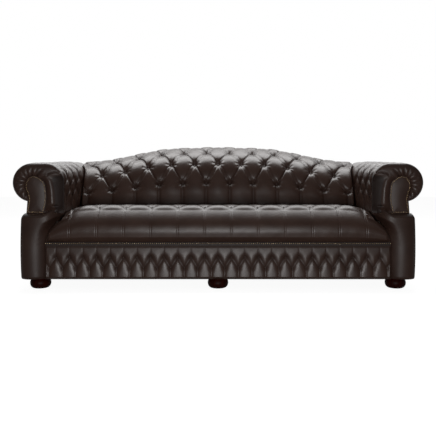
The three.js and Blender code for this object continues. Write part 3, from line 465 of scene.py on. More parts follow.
    @staticmethod
    def domes(name: str, places: Seats, radius: float, height: float,
              segments: tuple[int, int]) -> bpy.types.Object:
        """Many low domes, such as covered buttons or nail heads.

        Args:
            name: The piece's name.
            places: The middle of each dome's foot and the way that it faces.
            radius: The domes' radius.
            height: How far they stand out.
            segments: Faces round and from pole to pole.

        Returns:
            One object that holds them all.
        """
        bm, layer = MeshWorks.start()
        for middle, facing in places:
            turn = facing.to_track_quat("Z", "Y").to_matrix().to_4x4()
            squash = Matrix.Diagonal((1, 1, height / radius, 1))
            bmesh.ops.create_uvsphere(bm, u_segments=segments[0], v_segments=segments[1], radius=radius,
                                      matrix=Matrix.Translation(middle) @ turn @ squash)
        for vert in bm.verts:
            vert[layer] = 0.5
        return MeshWorks.from_bmesh(name, bm)

    @staticmethod
    def panel(name: str, outline: Sequence[tuple[float, float]], upright: Callable[[float, float], Vector],
              cuts: tuple[Sequence[float], Sequence[float]], swell: Callable[[Array, Array], Array],
              thickness: float, outward: Vector) -> bpy.types.Object:
        """A thin padded panel with any outline.

        Args:
            name: The piece's name.
            outline: The outline's corners, as two coordinates in the panel's plane.
            upright: Turns plane coordinates into a place in space.
            cuts: Where the panel is divided along its two coordinates, so that it can swell.
            swell: How far the panel stands out at plane coordinates.
            thickness: The panel's thickness.
            outward: The way that its show side faces.

        Returns:
            The finished object.
        """
        bm, layer = MeshWorks.start()
        bmesh.ops.create_circle(bm, cap_ends=True, segments=len(outline), radius=1)
        for vert, (across, up) in zip(bm.verts, outline):
            vert.co = (across, up, 0)
        for axis, values in enumerate(cuts):
            direction = Vector((1, 0, 0)) if axis == 0 else Vector((0, 1, 0))
            for value in values:
                bmesh.ops.bisect_plane(bm, geom=bm.verts[:] + bm.edges[:] + bm.faces[:],
                                       plane_co=direction * value, plane_no=direction)
        spots = np.array([v.co[:2] for v in bm.verts])
        raised = swell(spots[:, 0], spots[:, 1])
        for vert, (across, up), rise in zip(bm.verts, spots.tolist(), raised.tolist()):
            vert.co = upright(across, up) + outward * rise
            vert[layer] = 0.55
        bm.normal_update()
        if sum((f.normal * f.calc_area() for f in bm.faces), Vector()).dot(outward) < 0:
            bmesh.ops.reverse_faces(bm, faces=bm.faces[:])
        piece = MeshWorks.from_bmesh(name, bm)
        MeshWorks.thicken(piece, thickness)
        return piece


class Nodes:
    """Builds shader trees in a short way."""

    def __init__(self, tree: bpy.types.NodeTree) -> None:
        """Keeps the tree that the nodes go into."""
        self.tree = tree

    def feed(self, node: bpy.types.Node, values: dict) -> None:
        """Fills a node's inputs.

        Args:
            node: The node.
            values: Input sockets by name or number, each with a value or with a socket to link.
        """
        for key, value in values.items():
            if isinstance(value, Socket):
                self.tree.links.new(value, node.inputs[key])
            else:
                node.inputs[key].default_value = value

    def add(self, kind: str, values: dict | None = None, **settings: object) -> bpy.types.Node:
        """Adds a node.

        Args:
            kind: The node's type, without its ShaderNode prefix.
            values: What its inputs get.
            settings: The node's own settings.

        Returns:
            The new node.
        """
        node = self.tree.nodes.new(kind if kind.startswith("Node") else f"ShaderNode{kind}")
        for key, value in settings.items():
            setattr(node, key, value)
        self.feed(node, values or {})
        return node

    def math(self, operation: str, *values: Socket | float) -> Socket:
        """A Math node's result."""
        return self.add("Math", dict(enumerate(values)), operation=operation).outputs[0]

    def spread(self, value: Socket, low: float, high: float, to_low: float = 0, to_high: float = 1) -> Socket:
        """Maps a range of values to another and keeps them within it."""
        return self.add("MapRange", {0: value, 1: low, 2: high, 3: to_low, 4: to_high}).outputs[0]

    def smooth(self, value: Socket, low: Socket | float, high: Socket | float) -> Socket:
        """Rises smoothly from 0 at the low value to 1 at the high one."""
        return self.add("MapRange", {0: value, 1: low, 2: high}, interpolation_type="SMOOTHSTEP").outputs[0]

    def mix(self, share: Socket, first: Socket | tuple, second: Socket | tuple) -> Socket:
        """A colour between two colours."""
        return self.add("Mix", {0: share, 6: first, 7: second}, data_type="RGBA").outputs[2]

    def noise(self, vector: Socket, scale: Socket | float, detail: float, roughness: float = 0.5) -> Socket:
        """A Noise Texture node's value."""
        values = {"Vector": vector, "Scale": scale, "Detail": detail, "Roughness": roughness}
        return self.add("TexNoise", values).outputs["Fac"]

    def axis(self, vector: Socket, name: str) -> Socket:
        """One coordinate of a vector."""
        return self.add("SeparateXYZ", {0: vector}).outputs[name]


class Patterns:
    """The effects that several finishes use, each a node group made once."""

    @staticmethod
    def start(name: str, inputs: dict[str, float | None],
              outputs: Sequence[str]) -> tuple[Nodes, bpy.types.NodeOutputs, bpy.types.Node]:
        """Starts a group with named sockets.

        Args:
            name: The group's name.
            inputs: Each input's value, or None for a vector.
            outputs: The names of the outputs, which are all values.

        Returns:
            The group's node builder, what it is given, and the node that takes its results.
        """
        tree = bpy.data.node_groups.new(name, "ShaderNodeTree")
        for label, value in inputs.items():
            kind = "NodeSocketVector" if value is None else "NodeSocketFloat"
            socket = tree.interface.new_socket(label, in_out="INPUT", socket_type=kind)
            if value is not None:
                socket.default_value = value
        for label in outputs:
            tree.interface.new_socket(label, in_out="OUTPUT", socket_type="NodeSocketFloat")
        nodes = Nodes(tree)
        return nodes, nodes.add("NodeGroupInput").outputs, nodes.add("NodeGroupOutput")

    @staticmethod
    @cache
    def hide_grain() -> bpy.types.NodeTree:
        """Leather grain: fine pebbles broken up by pores and stretch lines.

        Returns:
            The group.
        """
        nodes, given, result = Patterns.start(
            "hide_grain", {"Vector": None, "Pebble": 520.0, "Cloud": 9.0}, ["Height", "Tone"])
        bent = nodes.add("TexNoise", {"Vector": given["Vector"], "Scale": 60.0, "Detail": 2.0})
        pushed = nodes.add("VectorMath", {0: bent.outputs["Color"], "Scale": 0.004}, operation="SCALE")
        moved = nodes.add("VectorMath", {0: given["Vector"], 1: pushed.outputs[0]})
        pebbles = nodes.add("TexVoronoi", {"Vector": moved.outputs[0], "Scale": given["Pebble"]},
                            feature="SMOOTH_F1")
        folds = nodes.noise(given["Vector"], 95.0, 4.0, 0.6)
        cloud = nodes.noise(given["Vector"], given["Cloud"], 3.0)
        rise = nodes.spread(pebbles.outputs["Distance"], 0.1, 0.75, 1.0, 0.0)
        total = nodes.math("ADD", nodes.math("MULTIPLY", rise, 0.65), nodes.math("MULTIPLY", folds, 0.9))
        nodes.feed(result, {"Height": total, "Tone": nodes.spread(cloud, 0.3, 0.7)})
        return nodes.tree

    @staticmethod
    @cache
    def wear_and_crease_shade() -> bpy.types.NodeTree:
        """Where hands and cloth polish the high places, broken up by patches, and the creases, which get painted
        shade.

        Returns:
            The group.
        """
        nodes, given, result = Patterns.start(
            "wear_and_crease_shade", {"Vector": None, "Puff": 0.5, "Start": 0.55, "End": 1.0}, ["Polish", "Crease"])
        patch = nodes.noise(given["Vector"], 24.0, 4.0)
        uneven = nodes.math("ADD", given["Puff"], nodes.spread(patch, 0.25, 0.75, -0.14, 0.14))
        nodes.feed(result, {"Polish": nodes.smooth(uneven, given["Start"], given["End"]),
                            "Crease": nodes.spread(given["Puff"], 0.0, 0.3, 1.0, 0.0)})
        return nodes.tree

    @staticmethod
    @cache
    def wood_figure() -> bpy.types.NodeTree:
        """Long wood grain: growth rings along a board, with fine pores.

        Returns:
            The group.
        """
        nodes, given, result = Patterns.start("wood_figure", {"Vector": None, "Rings": 28.0}, ["Ring", "Pore"])
        long = nodes.add("VectorMath", {0: given["Vector"], 1: (0.06, 1.0, 1.0)}, operation="MULTIPLY").outputs[0]
        bent = nodes.noise(long, 5.0, 3.0)
        wave = nodes.add("TexWave", {"Vector": long, "Scale": given["Rings"], "Distortion": 5.0,
                                     "Detail": 2.0, "Detail Scale": 1.2}, bands_direction="DIAGONAL")
        pores = nodes.noise(long, 420.0, 2.0)
        ring = nodes.math("ADD", nodes.math("MULTIPLY", wave.outputs["Fac"], 0.6),
                          nodes.math("MULTIPLY", bent, 0.5))
        nodes.feed(result, {"Ring": ring, "Pore": nodes.spread(pores, 0.35, 0.6)})
        return nodes.tree

    @staticmethod
    @cache
    def plain_weave() -> bpy.types.NodeTree:
        """A plain weave of thick and thin threads.

        Returns:
            The group.
        """
        nodes, given, result = Patterns.start("plain_weave", {"Vector": None, "Threads": 400.0}, ["Height", "Slub"])
        values = {"Vector": given["Vector"], "Scale": given["Threads"], "Distortion": 0.6}
        bands = [nodes.add("TexWave", values, bands_direction=way).outputs["Fac"] for way in ("X", "Y")]
        slub = nodes.noise(given["Vector"], 70.0, 4.0)
        nodes.feed(result, {"Height": nodes.math("MAXIMUM", *bands), "Slub": nodes.spread(slub, 0.3, 0.7)})
        return nodes.tree


@dataclass(frozen=True)
class Finish:
    """What every finish has: a name and a plain Principled surface to work on."""

    name: str

    def start(self) -> tuple[bpy.types.Material, Nodes, bpy.types.Node, Socket]:
        """Makes the material.

        Returns:
            The material, its node builder, its shader and the object coordinates.
        """
        material = bpy.data.materials.new(self.name)
        material.use_nodes = True
        nodes = Nodes(material.node_tree)
        shader = material.node_tree.nodes["Principled BSDF"]
        where = nodes.add("TexCoord").outputs["Object"]
        return material, nodes, shader, where

    @staticmethod
    def bump(nodes: Nodes, shader: bpy.types.Node, height: Socket, strength: float, distance: float) -> None:
        """Feeds a height into the shader's normal."""
        relief = nodes.add("Bump", {"Height": height, "Strength": strength, "Distance": distance})
        nodes.feed(shader, {"Normal": relief.outputs["Normal"]})


@dataclass(frozen=True)
class HideFinish(Finish):
    """Dark aniline leather: soft sheen, polished on the puffs, and dull in the creases, which are darkened as
    painted shade.
    """

    # deep: the dark of the grain's pores, and of the painted shade in the creases
    deep: tuple = (0.009, 0.0042, 0.0030, 1)
    body: tuple = (0.0225, 0.0105, 0.0071, 1)
    rubbed: tuple = (0.038, 0.0200, 0.0145, 1)
    roughness: tuple = (0.36, 0.46)
    grain: float = 0.12
    specular: float = 0.28
    coat: float = 1.0
    coat_roughness: float = 0.32

    def material(self) -> bpy.types.Material:
        """Builds the leather.

        Returns:
            The finished material.
        """
        material, nodes, shader, where = self.start()
        puff = nodes.add("Attribute", attribute_name="puff").outputs["Fac"]
        grain = nodes.add("Group", {"Vector": where}, node_tree=Patterns.hide_grain()).outputs
        wear_and_shade = nodes.add("Group", {"Vector": where, "Puff": puff}, node_tree=Patterns.wear_and_crease_shade()).outputs
        tone = nodes.math("MULTIPLY", grain["Tone"], 0.55)
        colour = nodes.mix(nodes.math("ADD", tone, nodes.math("MULTIPLY", wear_and_shade["Polish"], 0.45)),
                           self.body, self.rubbed)
        # painted shade: the creases, pleats and folds are mixed towards the deep colour
        colour = nodes.mix(nodes.math("MULTIPLY", wear_and_shade["Crease"], 0.85), colour, self.deep)
        colour = nodes.mix(nodes.spread(grain["Height"], 0.2, 0.6, 0.35, 0.0), colour, self.deep)
        rough = nodes.spread(wear_and_shade["Polish"], 0.0, 1.0, self.roughness[1], self.roughness[0])
        rough = nodes.math("ADD", rough, nodes.math("MULTIPLY", wear_and_shade["Crease"], 0.12))
        rough = nodes.math("ADD", rough, nodes.spread(grain["Tone"], 0.0, 1.0, -0.02, 0.02))
        upper = nodes.smooth(nodes.axis(nodes.add("NewGeometry").outputs["Normal"], "Z"), 0.30, 0.72)
        worn = nodes.spread(wear_and_shade["Crease"], 0.0, 1.0, self.coat, 0.3 * self.coat)
        nodes.feed(shader, {"Base Color": colour, "Roughness": rough, "Specular IOR Level": self.specular,
                            "Coat Weight": nodes.math("MULTIPLY", upper, worn),
                            "Coat Roughness": self.coat_roughness})
        self.bump(nodes, shader, grain["Height"], self.grain, 0.0006)
        return material


@dataclass(frozen=True)
class WoodFinish(Finish):
    """Planed or stained wood with its grain along one axis."""

    light: tuple = (0.46, 0.30, 0.16, 1)
    dark: tuple = (0.27, 0.155, 0.075, 1)
    roughness: float = 0.6
    axis: GrainAxis = GrainAxis.ACROSS
    specular: float = 0.5

    def material(self) -> bpy.types.Material:
        """Builds the wood.

        Returns:
            The finished material.
        """
        material, nodes, shader, where = self.start()
        turned = nodes.add("Mapping", {"Vector": where, "Rotation": self.axis.value}).outputs[0]
        figure = nodes.add("Group", {"Vector": turned}, node_tree=Patterns.wood_figure()).outputs
        colour = nodes.mix(figure["Ring"], self.light, self.dark)
        colour = nodes.mix(nodes.math("MULTIPLY", figure["Pore"], 0.35), colour, self.dark)
        rough = nodes.spread(figure["Pore"], 0.0, 1.0, self.roughness - 0.06, self.roughness + 0.08)
        nodes.feed(shader, {"Base Color": colour, "Roughness": rough, "Specular IOR Level": self.specular})
        self.bump(nodes, shader, figure["Pore"], 0.25, 0.0004)
        return material


@dataclass(frozen=True)
class MetalFinish(Finish):
    """Metal with patches of tarnish and of bright rubbed metal, spread at random."""

    bright: tuple = (0.52, 0.38, 0.24, 1)
    tarnish: tuple = (0.22, 0.15, 0.09, 1)
    roughness: float = 0.36

    def material(self) -> bpy.types.Material:
        """Builds the metal.

        Returns:
            The finished material.
        """
        material, nodes, shader, where = self.start()
        spots = nodes.noise(where, 180.0, 4.0)
        rough = nodes.spread(spots, 0.3, 0.7, self.roughness + 0.14, self.roughness - 0.05)
        nodes.feed(shader, {"Base Color": nodes.mix(nodes.spread(spots, 0.35, 0.65), self.tarnish, self.bright),
                            "Roughness": rough, "Metallic": 1.0})
        self.bump(nodes, shader, spots, 0.15, 0.0002)
        return material


@dataclass(frozen=True)
class ClothFinish(Finish):
    """Woven or matted cloth."""

    light: tuple = (0.44, 0.32, 0.17, 1)
    dark: tuple = (0.20, 0.13, 0.06, 1)
    threads: float = 400.0
    bump_height: float = 0.0006

    def material(self) -> bpy.types.Material:
        """Builds the cloth.

        Returns:
            The finished material.
        """
        material, nodes, shader, where = self.start()
        weave = nodes.add("Group", {"Vector": where, "Threads": self.threads},
                          node_tree=Patterns.plain_weave()).outputs
        shade = nodes.math("MULTIPLY", weave["Height"], weave["Slub"])
        nodes.feed(shader, {"Base Color": nodes.mix(shade, self.dark, self.light), "Sheen Weight": 0.2,
                            "Roughness": nodes.spread(weave["Slub"], 0.0, 1.0, 0.98, 0.86)})
        self.bump(nodes, shader, weave["Height"], 0.5, self.bump_height)
        return material


class Finishes:
    """The sofa's finishes, each made once."""

    def __init__(self) -> None:
        """Makes every finish."""
        self.hide = HideFinish("hide").material()
        self.seat_hide = HideFinish("seat_hide", specular=0.24, coat=0.80, coat_roughness=0.36).material()
        self.brass = MetalFinish("nail_brass").material()
        self.steel = MetalFinish("spring_steel", (0.42, 0.43, 0.45, 1), (0.2, 0.2, 0.21, 1), 0.3).material()
        self.dark_wood = WoodFinish("dark_wood", (0.024, 0.0022, 0.0006, 1), (0.009, 0.0008, 0.0002, 1),
                                    0.42, GrainAxis.UP, 0.06).material()
        self.beech = {axis: WoodFinish(f"beech_{axis.name.lower()}", axis=axis).material() for axis in GrainAxis}
        self.wadding = ClothFinish("wadding", (0.80, 0.75, 0.62, 1), (0.52, 0.47, 0.36, 1), 90.0, 0.003).material()
        self.jute = ClothFinish("jute", threads=330.0).material()
        self.dust_cloth = ClothFinish("dust_cloth", (0.022, 0.022, 0.022, 1), (0.006, 0.006, 0.006, 1),
                                      700.0, 0.0002).material()


def settle(piece: bpy.types.Object, material: bpy.types.Material, slot: str, *nodes: str,
           fill: float | None = None) -> None:
    """Gives a finished piece its finish and body, and hides the CAD nodes that it stands for.

    Args:
        piece: The finished object.
        material: Its finish.
        slot: Not used.
        nodes: The CAD nodes that it stands for.
        fill: Not used.
    """
    piece.data.materials.clear()
    piece.data.materials.append(material)
    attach(piece, "root")
    if nodes:
        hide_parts(*nodes)
    LOG.info("%s: %d faces", piece.name, len(piece.data.polygons))


@dataclass(frozen=True)
class Trim:
    """The covered buttons and the nail heads, with their sizes."""

    finishes: Finishes
    button_segments: tuple = (14, 7)
    nail_radius: float = 0.0038
    nail_height: float = 0.0034
    nail_segments: tuple = (10, 5)

    def buttons(self, name: str, seats: Seats, radius: float, height: float) -> None:
        """Makes covered buttons of one size in their seats."""
        piece = MeshWorks.domes(name, seats, radius, height, self.button_segments)
        settle(piece, self.finishes.hide, "leather")

    def nails(self, name: str, places: Iterable[tuple[float, float, float]], node: str) -> None:
        """Makes nail heads that face the front.

        Args:
            name: The piece's name.
            places: The middle of each head's foot.
            node: The CAD node that they stand for.
        """
        heads = [(Vector(place), FORWARD) for place in places]
        piece = MeshWorks.domes(name, heads, self.nail_radius, self.nail_height, self.nail_segments)
        settle(piece, self.finishes.brass, "antique_brass", node)


@dataclass(frozen=True)
class Filling:
    """How a padded piece swells as cloth under pressure, with each point kept near its place."""

    cap: float = 0.005
    pressure: float = 4.0
    mass: float = 0.4
    quality: int = 4
    last_frame: int = 20

    def swell(self, piece: bpy.types.Object, held: Array) -> None:
        """Fills out a piece that has no modifiers yet.

        Args:
            piece: The piece.
            held: For each point from 0, free, to 1, sewn down.
        """
        scene, mesh = bpy.context.scene, piece.data
        start = np.empty(len(mesh.vertices) * 3)
        mesh.vertices.foreach_get("co", start)
        sewn = piece.vertex_groups.new(name="sewn")
        for index, weight in enumerate(held.tolist()):
            if weight > 0:
                sewn.add([index], weight, "REPLACE")
        cloth = piece.modifiers.new("fill", "CLOTH")
        cloth.settings.quality, cloth.settings.mass = self.quality, self.mass
        cloth.settings.use_pressure = True
        cloth.settings.uniform_pressure_force = self.pressure
        cloth.settings.effector_weights.gravity = 0
        cloth.settings.vertex_group_mass = "sewn"
        cloth.point_cache.frame_start, cloth.point_cache.frame_end = 1, self.last_frame
        for step in range(1, self.last_frame + 1):
            scene.frame_set(step)
        shape = piece.evaluated_get(bpy.context.evaluated_depsgraph_get()).to_mesh()
        end = np.empty_like(start)
        shape.vertices.foreach_get("co", end)
        move = (end - start).reshape(-1, 3)
        size = np.linalg.norm(move, axis=1, keepdims=True)
        move = np.where(size > 1e-9, move / np.maximum(size, 1e-9) * self.cap * np.tanh(size / self.cap), 0)
        piece.modifiers.remove(cloth)
        piece.vertex_groups.remove(sewn)
        mesh.vertices.foreach_set("co", start + move.reshape(-1))
        mesh.update()
        scene.frame_set(1)
        LOG.info("%s filled out by up to %.1f mm", piece.name, 1000 * float(np.abs(move).max()))


@dataclass
class BackCushion:
    """The deep-buttoned inside back, over the camel crest and down behind it."""

    finishes: Finishes
    half: float = 0.938
    depths: tuple = (0.574, 0.5935, 0.613, 0.664, 0.768, 0.854, 0.913, 0.9022)
    heights: tuple = (0.438, 0.52575, 0.6135, 0.737, 0.806, 0.835, 0.786, 0.716)
    drop_shares: tuple = (0, 0.33, 0.66, 0.86, 0.84, 1, 1, 1)
    row_pitches: tuple = (0.147, 0.106, 0.087)
    station_rows: tuple = (8, 16, 42, 32, 26, 12, 8)
    row_marks: tuple = ((0, 4, 5.45, 7), (-2, 2, 3, 4.5))
    button_stations: tuple = (2.0, 3.0, 4.0, 5.45)
    corner_gap: float = 0.0002
    corner_start: float = 0.850
    corner_reach: float = 0.076
    shoulder: float = 0.022
    shoulder_turn: float = 0.008
    cover_thickness: float = 0.022
    tufts: Tufting = field(default_factory=lambda: Tufting(
        pitch=SIZES.button_pitch, last_row=3, sink=0.028, cone=0.022, dome=0.0100, roundness=0.40,
        crease=0.0068, crease_width=0.0036, lip=0.0105, pucker=0.0011))

    def surface(self, x: Array, station: Array, offset: Array) -> Array:
        """A point of the back, moved out of its section by an offset.

        Args:
            x: Distances from the middle.
            station: Places along the section, from the tuck over the crest to the hem.
            offset: How far out of the section.

        Returns:
            The points, one row each.
        """
        drop = SIZES.crest_drop(x)
        depth, depth_rate = catmull(self.depths, station)
        height, height_rate = catmull([h - s * drop for h, s in zip(self.heights, self.drop_shares)], station)
        length = np.hypot(depth_rate, height_rate)
        z = height + depth_rate / length * offset
        radius = SIZES.inner_roll_radius
        above = np.clip(z - (SIZES.arm_height - radius), 0, self.corner_reach)
        room = SIZES.arm_inner + radius - np.sqrt(radius**2 - above**2) - self.corner_gap - self.half
        x = x + np.sign(x) * room * fade(np.abs(x) - self.corner_start, self.half - self.corner_start)
        return np.stack([x, SIZES.y(depth - height_rate / length * offset), z], axis=1)

    def place(self, u: Array, v: Array) -> Pair:
        """The place across and the station at shares of the grid, with most of its rows for the diamonds."""
        return (2 * u - 1) * self.half, station_at(v, self.station_rows)

    def relief(self, x: Array, station: Array) -> Pair:
        """The buttoned relief, whose last row of buttons lies just behind the crest.

        Args:
            x: Distances from the middle.
            station: Places along the section.

        Returns:
            The relief in metres, and from 0 in the creases to 1 on the puffs.
        """
        row = np.interp(station, *self.row_marks)
        pitch = np.asarray(self.row_pitches)[np.clip(row, 0, self.tufts.last_row - 1).astype(int)]
        rise, puff = self.tufts.relief(x / self.tufts.pitch + 0.5, row, pitch, -x)
        rise = rise + 0.0012 * ripple(x, station * 0.1, 0.09, 3) * puff
        last = len(self.depths) - 1
        ends = fade(station, 0.4) * fade(last - station, 0.9) * fade(self.half - np.abs(x) + 0.012, 0.024)
        shoulder = np.clip((np.abs(x) - self.half + self.shoulder) / self.shoulder, 0, 1)
        turned = self.shoulder_turn * (1 - np.sqrt(1 - shoulder**2))
        return rise * ends - turned * fade(station - 1.5, 1.5) * fade(last - station, 0.9), puff

    def build(self) -> None:
        """Makes the cushion and its buttons."""
        grid = (round(2 * self.half / (self.tufts.pitch / 48)), sum(self.station_rows))
        cushion = MeshWorks.tufted("back_cushion", grid, self.place, self.relief, self.surface, (48, 30),
                                   self.place, self.cover_thickness, Vector((0, -1, 0.4)))
        settle(cushion, self.finishes.hide, "leather", "back_cover", fill=0.8)
        spots = [(x, station) for row, station in enumerate(self.button_stations)
                 for x in centred(SIZES.buttons_across - row % 2, self.tufts.pitch)]
        seats = MeshWorks.seats(self.surface, spots, -0.1)
        Trim(self.finishes).buttons("back_buttons", seats, 0.0115, 0.007)


@dataclass
class SeatCushion:
    """The buttoned seat whose front roll falls in channels to the nails."""

    finishes: Finishes
    half_front: float = 1.042
    half_deck: float = 0.952
    last_channel: float = 0.8965
    lining_reach: float = 0.03
    lip_clamp: float = 0.050
    depths: tuple = (0.0275, 0.0285, 0.0265, 0.0345, 0.0545, 0.0925, 0.132, 0.228, 0.324, 0.420, 0.516, 0.566)
    heights: tuple = (0.2844, 0.316, 0.352, 0.390, 0.420, 0.4515, 0.472, 0.471, 0.464, 0.458, 0.453, 0.440)
    station_rows: tuple = (7, 7, 8, 8, 8, 10, 14, 14, 14, 12, 8)
    first_row: int = 6
    row_pitch: float = 0.096
    nose_rise: float = 0.023
    crown: float = 0.0026
    line: float = 0.0015
    pull: float = 0.011
    end_rise: float = 0.020
    end_start: float = 0.925
    deck_share: float = 0.55
    gather: float = 0.62
    cover_thickness: float = 0.022
    tufts: Tufting = field(default_factory=lambda: Tufting(
        pitch=SIZES.button_pitch, last_row=4, sink=0.018, cone=0.018, dome=0.009, roundness=0.35,
        crease=0.004, crease_width=0.0036, lip=0.009, pucker=0.001))

    def surface(self, reach: Array, station: Array, offset: Array) -> Array:
        """A point of the seat, moved out of its section by an offset.

        Args:
            reach: Distances from the middle, as on the front roll.
            station: Places along the section, from the nails over the roll to the back.
            offset: How far out of the section.

        Returns:
            The points, one row each.
        """
        nose = self.first_row - 1
        narrowing = fade(station - (nose - 1), 1.0)
        half = blend(self.half_front, self.half_deck, narrowing)
        beyond = (np.abs(reach) - self.last_channel) / (self.half_front - self.last_channel)
        x = np.where(beyond > 0, np.sign(reach) * blend(self.last_channel, half, beyond), reach)
        depth, depth_rate = catmull(self.depths, station)
        height, height_rate = catmull(self.heights, station)
        length = np.hypot(depth_rate, height_rate)
        depth = depth - height_rate / length * offset
        height = height + depth_rate / length * offset
        height = SIZES.seat_lip + (height - SIZES.seat_lip) * SIZES.seat_share(x)
        clamped = np.minimum(depth, self.lip_clamp)
        depth = blend(depth, clamped, fade(np.abs(reach) - self.last_channel, 0.04) * (station <= nose))
        return np.stack([x, SIZES.y(depth), height], axis=1)

    def place(self, u: Array, v: Array) -> Pair:
        """The place at shares of the grid, with its columns drawn towards the channels.

        Args:
            u: Shares across.
            v: Shares along.

        Returns:
            Distances from the middle, as on the front roll, and places along the section.
        """
        reach = (2 * u - 1) * self.half_front
        column = reach / self.tufts.pitch + 0.5
        kept = fade(self.half_front - np.abs(reach), 0.12)
        reach = reach - kept * self.gather * np.sin(2 * np.pi * column) / (2 * np.pi) * self.tufts.pitch
        return reach, station_at(v, self.station_rows)

    def core_place(self, u: Array, v: Array) -> Pair:
        """The place at shares of the inner grid."""
        return (2 * u - 1) * (self.last_channel + self.lining_reach), station_at(v, self.station_rows)

    def relief(self, reach: Array, station: Array) -> Pair:
        """The relief: full shallow channels on the front roll, diamonds on the deck.

        Args:
            reach: Distances from the middle, as on the front roll.
            station: Places along the section.

        Returns:
            The relief in metres, and from 0 in the creases to 1 on the puffs.
        """
        row = station - self.first_row
        column = reach / self.tufts.pitch + 0.5
        rise, puff = self.tufts.relief(column, row, np.full(row.shape, self.row_pitch), -reach)
        rise = rise * blend(1.0, self.deck_share, np.clip(row / self.tufts.last_row, 0, 1))
        away = np.abs(column - np.round(column)) * self.tufts.pitch
        depth = fade(station - 0.4, 4.4)
        crown = self.crown * depth * (1 - np.abs(np.sin(np.pi * column)) ** 0.5)
        line = self.line * (0.45 + 0.55 * depth) * np.exp(-(((away - 0.0052) / 0.0022) ** 2))
        pull = self.pull * fade(station - (self.first_row - 1.1), 1.1) * np.exp(-((away / 0.018) ** 1.1))
        channel = self.nose_rise - crown - line - pull
        share = fade(row + 1.0, 1.0)
        rise = blend(channel, rise, share)
        puff = blend(np.clip(channel / self.nose_rise, 0, 1), puff, share)
        beside_arm = fade(np.abs(reach) - self.end_start, 0.045) * fade(station - (self.first_row - 2), 1.5)
        rise = blend(rise, self.end_rise, beside_arm)
        rise = rise + 0.0005 * ripple(reach, station * 0.05, 0.10, 5) * puff
        last = len(self.depths) - 1
        ends = fade(station + 0.05, 1.1) * fade(last - station, 0.8) * fade(self.half_front - np.abs(reach), 0.03)
        return rise * ends, puff

    def build(self) -> None:
        """Makes the cushion and its buttons."""
        grid = (round(2 * self.half_front / (self.tufts.pitch / 46)), sum(self.station_rows))
        cushion = MeshWorks.tufted("seat_cushion", grid, self.place, self.relief, self.surface, (48, 24),
                                   self.core_place, self.cover_thickness, Vector((0, -0.4, 1)))
        settle(cushion, self.finishes.seat_hide, "leather", "seat_cover", fill=0.85)
        spots = [(x, self.first_row + row) for row in range(self.tufts.last_row + 1)
                 for x in centred(SIZES.buttons_across - row % 2, self.tufts.pitch)]
        Trim(self.finishes).buttons("seat_buttons", MeshWorks.seats(self.surface, spots, 0.1), 0.011, 0.006)


class ArmSection:
    """The section of an arm's buttoned surface: up the inside, over the top and round the scroll."""

    def __init__(self, inset: float, foot: float = 0.400, foot_set: float = 0.013) -> None:
        """Draws the section.

        Args:
            inset: How far inside the arm's outline it lies.
            foot: The height that it starts from.
            foot_set: How much further out its foot lies.
        """
        inner = SIZES.inner_roll_radius - inset
        points = [(SIZES.roll_centre[0] - inner + foot_set, foot)]
        points += arc(SIZES.roll_centre, inner, np.linspace(np.pi, np.pi / 2, 40))
        points += arc(SIZES.scroll_centre, SIZES.scroll_radius - inset, np.linspace(np.pi / 2, SIZES.scroll_end, 80))
        self.points = np.array(points)
        self.lengths = run_along(*self.points.T)
        self.total = float(self.lengths[-1])

    def at(self, length: Array, offset: Array) -> Pair:
        """A point of the section, moved out by an offset.

        Args:
            length: How far along the section.
            offset: How far out of it.

        Returns:
            Distances from the middle and heights.
        """
        u, z = (np.interp(length, self.lengths, self.points[:, k]) for k in (0, 1))
        step = 0.004
        ahead, behind = np.minimum(length + step, self.total), np.maximum(length - step, 0)
        du, dz = (np.interp(ahead, self.lengths, self.points[:, k])
                  - np.interp(behind, self.lengths, self.points[:, k]) for k in (0, 1))
        size = np.hypot(du, dz)
        return u - dz / size * offset, z + du / size * offset


